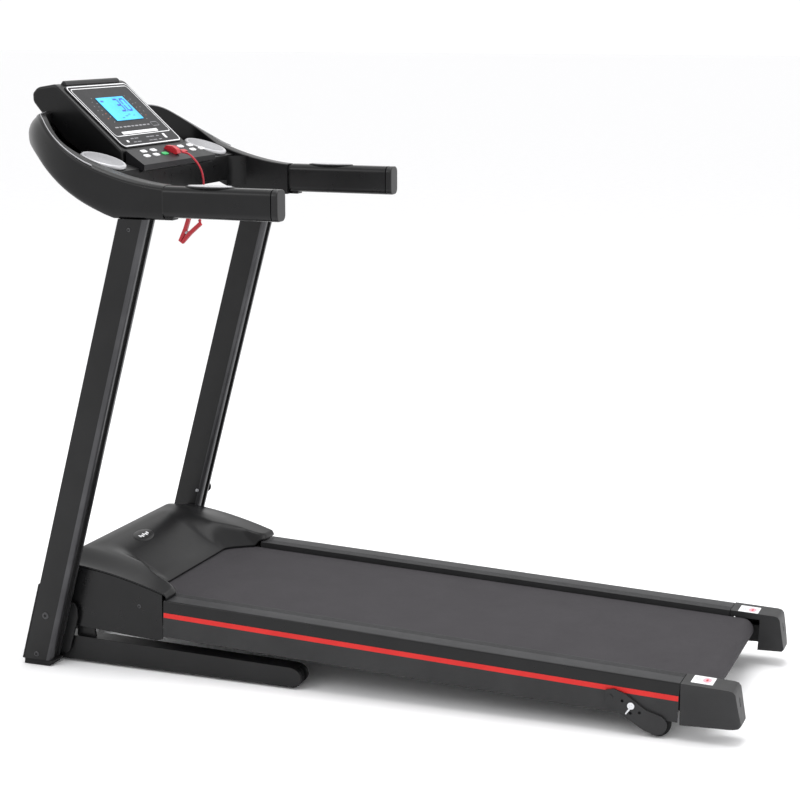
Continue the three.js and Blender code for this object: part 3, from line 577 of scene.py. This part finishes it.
# ---------- side rails ----------
RAIL_FRONT, RAIL_REAR, FLANGE_REAR, RAIL_SPLIT = -438, 619.6, 538, -26
RAIL_INNER, RAIL_OUTER, RAIL_ROUND, RAIL_FOOT = 208, 264, 4, -77
GROOVES, STRIPE_LOW, STRIPE_PROUD = (212, 217, 222, 227), -36, 0.35
TOP_FACE, ROUND_FACE, SIDE_FACE = 0, 1, 2
LABEL_TOP, LABEL_INK, LABEL_DOT = 0.25, 0.32, 0.38
LABEL_MARK = (663, 228)
for name, side in SIDES:
    def on_rail(u, v, w, side=side):
        return on_deck(w, side * u, v)

    top_line = [(RAIL_INNER, 0)]
    for middle in GROOVES:
        top_line += [(middle - 0.9, 0), (middle - 0.6, -0.9), (middle + 0.6, -0.9), (middle + 0.9, 0)]
    shoulder = arc(RAIL_OUTER - RAIL_ROUND, -RAIL_ROUND, RAIL_ROUND, 90, 0, 6)
    lower = [(RAIL_OUTER, RAIL_SPLIT), (RAIL_OUTER, RAIL_FOOT), (261, RAIL_FOOT), (261, -3),
             (210, -3), (210, -12.4), (207, -12.4), (207, -1)]
    outline = top_line + shoulder + lower
    verts, faces = prism(outline, RAIL_FRONT, RAIL_REAR, on_rail)
    slots = [TOP_FACE, TOP_FACE]
    for i in range(len(outline)):
        past_top = i - len(top_line)
        slots.append(TOP_FACE if past_top < 2 else ROUND_FACE if past_top < len(shoulder) else SIDE_FACE)
    flange = prism([(250, -73), (261, -73), (261, RAIL_FOOT), (250, RAIL_FOOT)],
                   RAIL_FRONT, FLANGE_REAR, on_rail)
    piece("side_rail_%s_finish" % name, [(verts, faces, slots), (*flange, [SIDE_FACE] * 6)],
          (rail_top, moulded, side_panel), "deck",
          replaces=("side_rail_" + name,), angle=35)
    stripe = block(RAIL_OUTER, RAIL_OUTER + STRIPE_PROUD, STRIPE_LOW, RAIL_SPLIT,
                   RAIL_FRONT + 1, RAIL_REAR - 1, on_rail)
    piece("stripe_" + name, [stripe], red_line, "deck")
    refine("end_cap_" + name, 1.5, side_panel, 3)

    def on_cap(u, v, w, side=side):
        return on_deck(u, side * v, w)

    piece("label_" + name, [prism(rounded(636, 677, 209, 250, 2, 3), -0.05, LABEL_TOP, on_cap)], white_print,
          "deck")
    lines = [block(640, 652, v, v + 1.4, LABEL_TOP, LABEL_INK, on_cap) for v in (216, 221, 226, 231)]
    piece("label_lines_" + name, lines, grey_print, "deck")
    piece("label_oval_" + name, [prism(oval(*LABEL_MARK, 8, 13), LABEL_TOP, LABEL_INK, on_cap)], pink_print,
          "deck")
    piece("label_dot_" + name, [prism(oval(*LABEL_MARK, 2.2, 6), LABEL_INK, LABEL_DOT, on_cap)], red_gloss,
          "deck")

    def on_cap_rear(u, v, w, side=side):
        return at(725.3 + 0.986 * w - 0.167 * v, side * (235 + u), 77 + 0.986 * v + 0.167 * w)

    # A thin near-black oval on the end cap's rear face: painted shade for the tension bolt's slot.
    piece("tension_slot_" + name, [prism(oval(0, 0, 3.4, 9.5), -1, 0.25, on_cap_rear)], shadow_black,
          "deck")
    screw("tension_bolt_" + name, on_cap_rear, 2.6, "deck", 0.9)

# ---------- belt, board, rollers, motor ----------
ROLLERS, ROLLER_DROP, ROLLER_RADIUS, BELT_HALF = (-515, 649), -34, 21.2, 201


def belt_outline(lift):
    """The belt's path round both rollers, lift millimetres off them."""
    radius = ROLLER_RADIUS + lift
    rear = arc(ROLLERS[1], ROLLER_DROP, radius, -90, 90, 28)
    return rear + arc(ROLLERS[0], ROLLER_DROP, radius, 90, 270, 28)


def on_belt(u, v, w):
    return on_deck(u, w, v)


belt = frame_prism(belt_outline(1.7), belt_outline(0.4), -BELT_HALF, BELT_HALF, on_belt)
piece("running_belt_finish", [belt], belt_look, "deck", replaces=("running_belt",))
refine("running_board", 1.0, board_wood)
refine("deck_frame", 1.2, powder)
for node in ("rear_roller", "drive_roller", "motor_pulley", "motor_body"):
    refine(node, 0.8, steel)
refine("drive_belt", 0.3, rubber)
refine("control_board", 0.6, circuit)

# ---------- motor hood and side covers ----------
HOOD_FRONT, HOOD_REAR, HOOD_HORN, HOOD_HALF, HOOD_CREST = -664, -497, -431, 264, 225
HOOD_BASE, BROW_ROUND, HOOD_SKIN = 128, 16, 3
HOOD_SLICES, BROW_STEPS, HOOD_STEPS = 120, 6, 36


def hood_rear(y):
    """The rear edge: straight over the belt, with a horn running back over each rail."""
    return mix(HOOD_REAR, HOOD_HORN, smooth(138, 226, abs(y)))


def hood_height(x, y):
    """The hood's top: the middle falls first, the shoulders later, and the rear edge lies on the belt."""
    away = abs(y)
    along = (x - HOOD_FRONT) / (HOOD_REAR - HOOD_FRONT)
    fall = 0.45 * smooth(0.22, 1, along) + 0.55 * max(0, (along - 0.12) / 0.88)
    middle = mix(HOOD_CREST, 153.5, fall)
    back = max(0, (x - HOOD_FRONT) / (HOOD_HORN - HOOD_FRONT))
    shoulder = mix(HOOD_CREST, 166, back ** 1.35)
    edge = mix(209, 164, back ** 1.7)
    inner = mix(middle, shoulder, smooth(120, 175, away))
    crown = mix(inner, edge, smooth(185, HOOD_HALF, away))
    rear_edge = mix(129, 140, smooth(196, 206, away)) - 0.04 * x
    climb = mix(0.9, 3, smooth(200, 235, away))
    return soft_min(crown, rear_edge + climb * max(0, hood_rear(y) - x), 8)


def hood_ring(y):
    """One slice of the hood's skin, from the front's foot over the brow to the rear edge and back inside."""
    nose = HOOD_FRONT - 6 + 14 * smooth(180, HOOD_HALF, abs(y))
    rear = hood_rear(y)
    below_brow = hood_height(HOOD_FRONT, y) - BROW_ROUND
    outer = [(nose - 2, HOOD_BASE), (nose - 1.5, mix(HOOD_BASE, below_brow, 0.5)), (nose - 1, below_brow)]
    for k in range(1, BROW_STEPS):
        turn = math.pi / 2 * k / BROW_STEPS
        outer.append((nose + 12 - 13 * math.cos(turn), below_brow + BROW_ROUND * math.sin(turn)))
    for k in range(HOOD_STEPS + 1):
        x = mix(nose + 12, rear, 1 - (1 - k / HOOD_STEPS) ** 1.7)
        outer.append((x, hood_height(max(x, HOOD_FRONT), y)))
    inner = []
    for k, (x, z) in enumerate(outer):
        if k <= 6:
            inner.append((x + HOOD_SKIN, z))
        else:
            inner.append((x + 1.5 * (k < 14), z - HOOD_SKIN))
    return [at(x, y, z) for x, z in outer + inner[::-1]]


hood_rings = [hood_ring(mix(-HOOD_HALF, HOOD_HALF, i / HOOD_SLICES)) for i in range(HOOD_SLICES + 1)]
piece("motor_hood_finish", [loft(hood_rings)], hood_gloss, "deck", bevel=1.0, angle=50,
      replaces=("motor_hood",))


def on_hood(lift):
    return lambda u, v, w: at(u, v, hood_height(u, v) + lift + w)


BADGE_X, BADGE_Y, BADGE_LENGTH, BADGE_WIDTH = -606, -28, 16, 36
BADGE_SUNK, BADGE_TOP, BADGE_THICK = -0.5, 1.1, 1.6
BADGE_EDGE = [(0, 0), (0.5, 0), (1, 0), (1, BADGE_THICK * 0.6), (0.94, BADGE_THICK), (0.5, BADGE_THICK),
              (0, BADGE_THICK)]


def on_badge(u, v, w):
    return on_hood(BADGE_SUNK)(BADGE_X + BADGE_LENGTH * u, BADGE_Y + BADGE_WIDTH * v, w)


piece("hood_badge_plate", [lathe(BADGE_EDGE, 1, on_badge, 48)], dark_gloss, "deck",
      angle=40)
badge_bars = []
for index in range(5):
    x, y = BADGE_X + 2 * (index % 2), BADGE_Y - 16 + 8 * index
    badge_bars.append(block(x - 3, x + 3, y - 2.6, y + 2.6, 0, 0.3, on_hood(BADGE_TOP)))
piece("hood_badge_bars", badge_bars, white_print, "deck")
COVER_SCREW_X, COVER_SCREW_Z = -493, 134
for name, side in SIDES:
    refine("side_cover_" + name, 1.2, moulded, 3)

    def on_cover(u, v, w, side=side):
        return at(COVER_SCREW_X + u, side * (HOOD_HALF + w), COVER_SCREW_Z + v)

    screw("cover_screw_" + name, on_cover, 4.2, "deck", 1.4)

# ---------- incline legs ----------
for name, _ in SIDES:
    refine("incline_leg_" + name, 1.0, side_panel)
    refine("leg_wheel_" + name, 2.0, rubber, 3)
    refine("leg_pin_" + name, 0.8, bright_pin)

# ---------- console ----------
SHELL_CENTRE, SHELL_LENGTH, SHELL_HALF, SHELL_POWER, ARM_END = -562, 231.8, 314, 2.16, -392
ARM_WALL, RIM_WALL, BAND_LEAN, BAND_CREST, BAND_BELLY = 42, 12, 35, 1116, 1052
ARM_LOW, THIN_FROM, THIN_TO, QUARTER_STEPS = 926, 540, 650, 72
ARM_STATIONS = (ARM_END, -410, -430, -450, -475, -500, -520, -545)
BAND_FLANK = ((5, 8, 0), (2.2, 4, 0.05), (0.6, 1.8, 0.12), (0, 0.5, 0.24), (0, 0, 0.42), (0, 2, 0.54),
              (0, 6, 0.66), (0, 12, 0.77), (0.2, 19, 0.86))


def plan(angle, side_inset, front_inset):
    """A point of the horseshoe's rounded front in plan, as x and the distance from the middle."""
    s = max(0, math.sin(angle)) ** (2 / SHELL_POWER)
    c = max(0, math.cos(angle)) ** (2 / SHELL_POWER)
    return SHELL_CENTRE - (SHELL_LENGTH - front_inset) * s, (SHELL_HALF - side_inset) * c


def rim_heights(x):
    """The band's lower and upper edge, which both climb towards the front."""
    u = -(x + 390)
    top = soft_min(991 + 0.075 * u + 0.00097 * u * u, BAND_CREST, 16)
    low = max(ARM_LOW, soft_min(903 + 0.07 * u + 0.00121 * u * u, BAND_BELLY, 30))
    return low, top


def band_stations():
    """Places along the horseshoe, each a rule that turns an inset into a point of the plan."""
    half = [lambda side, front, x=x: (x, SHELL_HALF - side) for x in ARM_STATIONS]
    for i in range(QUARTER_STEPS + 1):
        half.append(lambda side, front, turn=math.pi / 2 * i / QUARTER_STEPS: plan(turn, side, front))
    return [(rule, -1) for rule in half] + [(rule, 1) for rule in half[:-1][::-1]]


def thinned(x):
    """0 along the straight arms, 1 round the front, where the band is thin."""
    return smooth(THIN_FROM, THIN_TO, -x)


def wall_side(x):
    """How far the band's inner wall stands in from its outer side."""
    return mix(ARM_WALL, RIM_WALL + 3, thinned(x))


def band_ring(rule, side):
    x = rule(0, 0)[0]
    low, top = rim_heights(x)
    wall = wall_side(x)

    def spot(side_inset, front_inset, z):
        px, py = rule(side_inset, front_inset)
        return at(px, side * py, z)

    points = [spot(side_in, front_in, mix(low, top, share)) for side_in, front_in, share in BAND_FLANK]
    bevel, drop = mix(16, 4, thinned(x)), mix(9, 5, thinned(x))
    for part in range(7):
        turn = math.pi / 2 * part / 6
        inward = 1 - math.cos(turn)
        points.append(spot(bevel * inward, mix(25, BAND_LEAN, inward), top - drop * (1 - math.sin(turn))))
    front_wall = BAND_LEAN + RIM_WALL
    points += [spot(wall - 2, front_wall - 2, top - 0.4), spot(wall, front_wall, top - 2.4)]
    return points + [spot(wall, front_wall, low)]


stations = band_stations()
piece("console_shell_finish", [loft([band_ring(*station) for station in stations])], moulded, "stand",
      bevel=1.2, angle=55, replaces=("console_shell",))
# A thin light-grey bead along the band's inner top edge, round the front of the band: a painted highlight
# where the rounded edge catches the light.
HIGHLIGHT_RADIUS, HIGHLIGHT_INSET, HIGHLIGHT_REAR = 1.5, 4.4, -545
highlight_rings = []
for rule, side in stations:
    x = rule(0, 0)[0]
    if x <= HIGHLIGHT_REAR:
        px, py = rule(HIGHLIGHT_INSET, BAND_LEAN)
        circle = oval(side * py, rim_heights(x)[1], HIGHLIGHT_RADIUS, HIGHLIGHT_RADIUS, 8)
        highlight_rings.append([at(px, y, z) for y, z in circle])
piece("console_painted_highlight", [loft(highlight_rings)], edge_highlight_paint, "stand", angle=60)
refine("console_deck", 1.0, moulded)
# The inner deck's floor climbs to the front, and a lip on it closes the seam along the band's wall.
FLOOR_START, FLOOR_LOW, FLOOR_SLOPE = -622, 1000.2, 0.66
LIP_REAR, LIP_FRONT, LIP_WIDTH, LIP_DEPTH, LIP_BITE = -624, -728, 7, 7, 0.6
for name, side in SIDES:
    lip = []
    for rule, own_side in stations:
        outer_x = rule(0, 0)[0]
        wall = wall_side(outer_x)
        x, y = rule(wall, BAND_LEAN + RIM_WALL)
        if own_side == side and LIP_FRONT < x < LIP_REAR:
            inner_x, inner_y = rule(wall + LIP_WIDTH, BAND_LEAN + RIM_WALL + LIP_WIDTH)
            level = FLOOR_LOW + FLOOR_SLOPE * (FLOOR_START - x)
            against_wall = max(level, rim_heights(outer_x)[0] + 2)
            lip.append([at(x + LIP_BITE, side * (y + LIP_BITE), level - LIP_DEPTH),
                        at(x + LIP_BITE, side * (y + LIP_BITE), against_wall),
                        at(inner_x, side * inner_y, level),
                        at(inner_x, side * inner_y, level - LIP_DEPTH)])
    piece("console_floor_lip_" + name, [loft(lip)], moulded, "stand", angle=40)
FILLET = [(-521, 272.4)] + arc(-484, 236, 36.5, 90, 180, 12) + [(-521, 236)]
FILLET_LOW, FILLET_TOP = 944, 1006.5
for name, side in SIDES:
    def on_arm(u, v, w, side=side):
        return at(u, side * v, w)

    piece("console_corner_" + name, [prism(FILLET, FILLET_LOW, FILLET_TOP, on_arm)], moulded, "stand",
          angle=40)


def face_point(x, z):
    """A point of the display face's profile as plain (x, z) drawing millimetres."""
    spot = on_face(x, 0, z)
    return spot.x / MM - DATUM_X, spot.z / MM


POD_HALF = 142
pod = [(-567, 1003), face_point(4, 0), face_point(-191, 0), (-724, 1172), (-761, 1166), (-773, 1154),
       (-772, 1137), (-752, 1113), (-700, 1060), (-622, 1008), (-618, 1003)]
piece("display_pod_finish", [prism(pod, -POD_HALF, POD_HALF, lambda u, v, w: at(u, w, v))], moulded, "stand",
      bevel=6, segments=4, angle=22, replaces=("display_pod",))
ledge = [(-187, -2), (-187, 2), (-193, 5), (-199, 3), (-199, -5)]
piece("display_ledge", [prism(ledge, -112, 112, lambda u, v, w: on_face(u, w, v))], side_panel, "stand",
      bevel=1.2)
refine("display_panel", 0.6, panel_gloss)
refine("lcd_window", 0.3, screen)
refine("keypad_panel", 1.0, panel_gloss)

# Heights off the display face, where the printed marks and the digits on the screen lie.
PRINT_LOW, PRINT_HIGH = 2.55, 2.8
SCREEN_LOW, SCREEN_MARK, SCREEN_DIGIT = 3.98, 4.08, 4.12


def printed(name, parts, one_look, low=PRINT_LOW, high=PRINT_HIGH):
    solids = [prism(outline, low, high, on_face) for outline in parts]
    return piece(name, solids, one_look, "stand")


def line_ring(u0, u1, half, radius, width):
    outer = rounded(u0, u1, -half, half, radius, 8)
    inner = rounded(u0 + width, u1 - width, -half + width, half - width, radius - width, 8)
    return frame_prism(outer, inner, PRINT_LOW, PRINT_HIGH, on_face)


piece("display_outline_outer", [line_ring(-181.5, -4.5, 127.5, 12, 2.6)], white_print, "stand")
piece("display_outline_inner", [line_ring(-174, -33, 119, 9, 1.9)], white_print, "stand")


def bar(u, v, width, height, radius=1.0):
    """A small rounded rectangle centred u down the face and v across it."""
    return rounded(u - height / 2, u + height / 2, v - width / 2, v + width / 2, radius, 3)


printed("display_bar", [bar(-41, -7, 152, 7.5, 1.5)], white_print)
printed("display_blocks", [bar(-18, -92, 9, 6, 2), bar(-22, 74, 10, 13, 1.5)], white_print)
ROW_OF_MARKS = ((-82, 14), (-66, 10), (-48, 12), (-32, 14), (-15, 11), (2, 13), (19, 12), (36, 14), (53, 10))
LOWER_MARKS = ((-66, 13), (-48, 16), (2, 14), (20, 17), (44, 12))
marks = [bar(-58, v, width, 3.2) for v, width in ROW_OF_MARKS]
marks += [bar(u, v, width, 2.4, 0.8) for u in (-24, -14) for v, width in LOWER_MARKS]
printed("display_small_marks", marks, grey_print)
mark_frame = frame_prism(rounded(-64, -52, 68, 96, 3, 4), rounded(-62.8, -53.2, 69.2, 94.8, 2, 4),
                         PRINT_LOW, PRINT_HIGH, on_face)
piece("display_mark_frame", [mark_frame], grey_print, "stand")
# Two arcs of ticks on each side of the screen.
TICK_CENTRE, TICK_REACHES, TICK_SQUASH, TICK_CLEAR = -109, (74, 90), 0.62, 62
dots, amber = [], []
for side in (-1, 1):
    for k in range(9):
        angle = math.radians(-52 + 13 * k)
        for ring, reach in enumerate(TICK_REACHES):
            u = TICK_CENTRE - TICK_SQUASH * reach * math.sin(angle)
            v = side * reach * math.cos(angle)
            if abs(v) > TICK_CLEAR:
                (amber if (k + ring) % 7 == 3 else dots).append(bar(u, v, 3.4, 1.7, 0.7))
printed("display_ticks", dots, grey_print)
printed("display_ticks_amber", amber, amber_print)

# Each segment: its side, its level, and whether it stands up.
SEGMENTS = {"a": (0, 1, False), "b": (1, 1, True), "c": (1, 0, True), "d": (0, 0, False),
            "e": (-1, 0, True), "f": (-1, 1, True), "g": (0, 0.5, False)}
DIGITS = {"3": "abcdg", "0": "abcdef"}
DIGIT_BASE, DIGIT_WIDTH, DIGIT_HEIGHT, DIGIT_STROKE, DIGIT_LEAN = 101, 17, 34, 4.6, 0.12


def digit(symbol, centre):
    """Seven-segment strokes on the screen, leaning a little, centred across the face."""
    half = DIGIT_STROKE / 2
    outlines = []
    for key in DIGITS[symbol]:
        across, level, stands = SEGMENTS[key]
        if stands:
            low = DIGIT_BASE + level * DIGIT_HEIGHT / 2 + 1
            high = DIGIT_BASE + (level + 1) * DIGIT_HEIGHT / 2 - 1
            middle = centre + across * DIGIT_WIDTH / 2
            left, right = middle - half, middle + half
        else:
            middle = DIGIT_BASE + level * DIGIT_HEIGHT
            low, high = middle - half, middle + half
            left, right = centre - DIGIT_WIDTH / 2 + 1, centre + DIGIT_WIDTH / 2 - 1
        corners = ((low, left), (low, right), (high, right), (high, left))
        outlines.append([(-up, v + DIGIT_LEAN * (up - DIGIT_BASE)) for up, v in corners])
    return outlines


numbers = digit("3", 8) + digit("0", 36) + [bar(-100, 22, 3.6, 3.6, 0.8)]
printed("screen_digits", numbers, digit_blue, SCREEN_LOW, SCREEN_DIGIT)
faint = [bar(-132, -44, 12, 5), bar(-86, -2, 12, 2), bar(-90, 14, 10, 2), bar(-86, 30, 7, 2),
         bar(-82, -20, 9, 2)]
printed("screen_marks", faint, digit_blue, SCREEN_LOW, SCREEN_MARK)

# Each key: how far up the keypad, how far across it, its mark and its finish.
KEYS = {
    "key_incline_up": (48, -82, "up", white_key),
    "key_incline_down": (48, -40, "down", white_key),
    "key_speed_slow": (48, 82, "minus", white_key),
    "key_speed_fast": (48, 125, "plus", white_key),
    "key_mode": (30, -98, "bar", white_key),
    "key_program": (30, -58, "bar", white_key),
    "key_start": (30, -20, None, green_key),
    "key_stop": (30, 65, None, red_gloss),
    "key_slower": (30, 107, "minus", white_key),
    "key_faster": (30, 148, "plus", white_key),
}
MARKS = {
    "up": [[(-2, 0), (2, -3), (2, 3)]],
    "down": [[(2, 0), (-2, 3), (-2, -3)]],
    "minus": [bar(0, 0, 7, 1.2, 0.4)],
    "plus": [bar(0, 0, 7, 1.2, 0.4), bar(-1.6, 0, 1.2, 1.6, 0.3), bar(1.6, 0, 1.2, 1.6, 0.3)],
    "bar": [bar(0, 0, 8, 1.4, 0.5)],
}
KEY_TOP, KEY_MARK_TOP = 1.95, 2.08
for name, (up, across, mark, finish) in KEYS.items():
    def on_key(u, v, w, up=up, across=across):
        return on_keypad(u - up, v + across, w)

    refine(name, 0.9, finish, 3)
    if mark:
        shapes = [prism(outline, KEY_TOP, KEY_MARK_TOP, on_key) for outline in MARKS[mark]]
        piece(name + "_mark", shapes, grey_print, name)
refine("safety_key", 1.6, red_gloss, 3)

# ---------- speakers, handles ----------
SPEAKER_X, SPEAKER_Y, SPEAKER_Z, SPEAKER_TILT, SPEAKER_STRETCH = -567, 226, 1024.8, math.radians(16.9), 1.07
SPEAKER_RIM = [(0, 0), (42, 0), (43.4, 1.2), (44, 3.2), (43.6, 5.8), (42.2, 7.6), (40.4, 8.4), (38.6, 8.3),
               (37.6, 7.6), (0, 7.6)]
GRILLE = [(0, 7.5), (37.4, 7.5), (37.2, 8.2), (32, 8.8), (24, 9.4), (14, 9.8), (6, 9.95), (0, 10)]
HANDLE_Y, HANDLE_LOW, HANDLE_TOP, SENSOR_X = 298, 930.5, 990.5, -299
HANDLE_START, HANDLE_END, CAP_START, CAP_END = -389, -166, -165.4, -152
TUBE = rounded(-20, 20, HANDLE_LOW, HANDLE_TOP, 13, 9)
COLLAR = rounded(-18, 18, HANDLE_LOW + 2, HANDLE_TOP - 2, 12, 9)
BEZEL_OUTER, BEZEL_INNER = oval(0, 0, 51, 18.6, 56), oval(0, 0, 46.6, 16.9, 56)
for name, side in SIDES:
    def on_speaker(x, y, z, side=side):
        c, s = math.cos(SPEAKER_TILT), math.sin(SPEAKER_TILT)
        return at(x * c + z * s + SPEAKER_X, y + side * SPEAKER_Y, z * c - x * s + SPEAKER_Z)

    speaker = [lathe(profile, SPEAKER_STRETCH, on_speaker) for profile in (SPEAKER_RIM, GRILLE)]
    piece("speaker_%s_finish" % name, speaker, (silver, mesh_look), "stand",
          replaces=("speaker_" + name,), angle=50)

    def on_handle(u, v, w, side=side):
        return at(w, side * HANDLE_Y + u, v)

    piece("handle_%s_finish" % name, [prism(TUBE, HANDLE_START, HANDLE_END, on_handle)], moulded, "stand",
          replaces=("handle_" + name,), angle=40)
    piece("handle_cap_%s_finish" % name, [prism(TUBE, CAP_START, CAP_END, on_handle)], dark_gloss, "stand",
          bevel=2.6, segments=4, replaces=("handle_cap_" + name,), angle=40)
    # A near-black ring, a little smaller than the handle, where the handle meets the shell: painted shade in
    # the gap.
    piece("handle_seam_" + name, [prism(COLLAR, -392.5, -388, on_handle)], shadow_black, "stand",
          angle=40)
    piece("handle_tab_" + name, [block(-12, 12, 926, 932, -391, -373, on_handle)], moulded, "stand",
          bevel=0.8)
    refine("pulse_sensor_" + name, 0.8, silver, 3)

    def on_grip(u, v, w, side=side):
        return at(SENSOR_X + u, side * HANDLE_Y + v, HANDLE_TOP + w)

    piece("pulse_bezel_" + name, [frame_prism(BEZEL_OUTER, BEZEL_INNER, -1.5, 1.4, on_grip)], dark_gloss,
          "stand", bevel=0.5, angle=40)

# ---------- studio ----------
REACH, FLOOR_LEVEL = 60, -0.0004
WORLD_WHITE = 1.03
floor_corners = [(x * REACH, y * REACH, FLOOR_LEVEL) for x, y in ((-1, -1), (1, -1), (1, 1), (-1, 1))]
floor_mesh = bpy.data.meshes.new("studio_floor")
floor_mesh.from_pydata(floor_corners, [], [(0, 1, 2, 3)])
floor_mesh.materials.append(floor_look.material)
floor = bpy.data.objects.new("studio_floor", floor_mesh)
bpy.context.collection.objects.link(floor)

world = bpy.data.worlds.new("studio")
world.use_nodes = True
background = world.node_tree.nodes["Background"]
background.inputs["Color"].default_value = (1, 1, 1, 1)
background.inputs["Strength"].default_value = WORLD_WHITE
bpy.context.scene.world = world
bpy.context.scene.view_settings.view_transform = "Standard"


def area_light(name, place, target, size, watts):
    """A round soft light at place, turned towards target."""
    data = bpy.data.lights.new(name, "AREA")
    data.shape = "DISK"
    data.size = size
    data.energy = watts
    lamp = bpy.data.objects.new(name, data)
    lamp.location = place
    lamp.rotation_euler = (Vector(target) - Vector(place)).to_track_quat("-Z", "Y").to_euler()
    bpy.context.collection.objects.link(lamp)


area_light("overhead", (0.2, 0.2, 4.2), (0, 0, 0), 3.0, 90)
area_light("front_left", (-2.6, -3.4, 3.0), (-0.2, 0, 0.6), 1.8, 26)
area_light("rear_right", (3.4, 1.6, 2.2), (0, 0, 0.7), 1.6, 24)
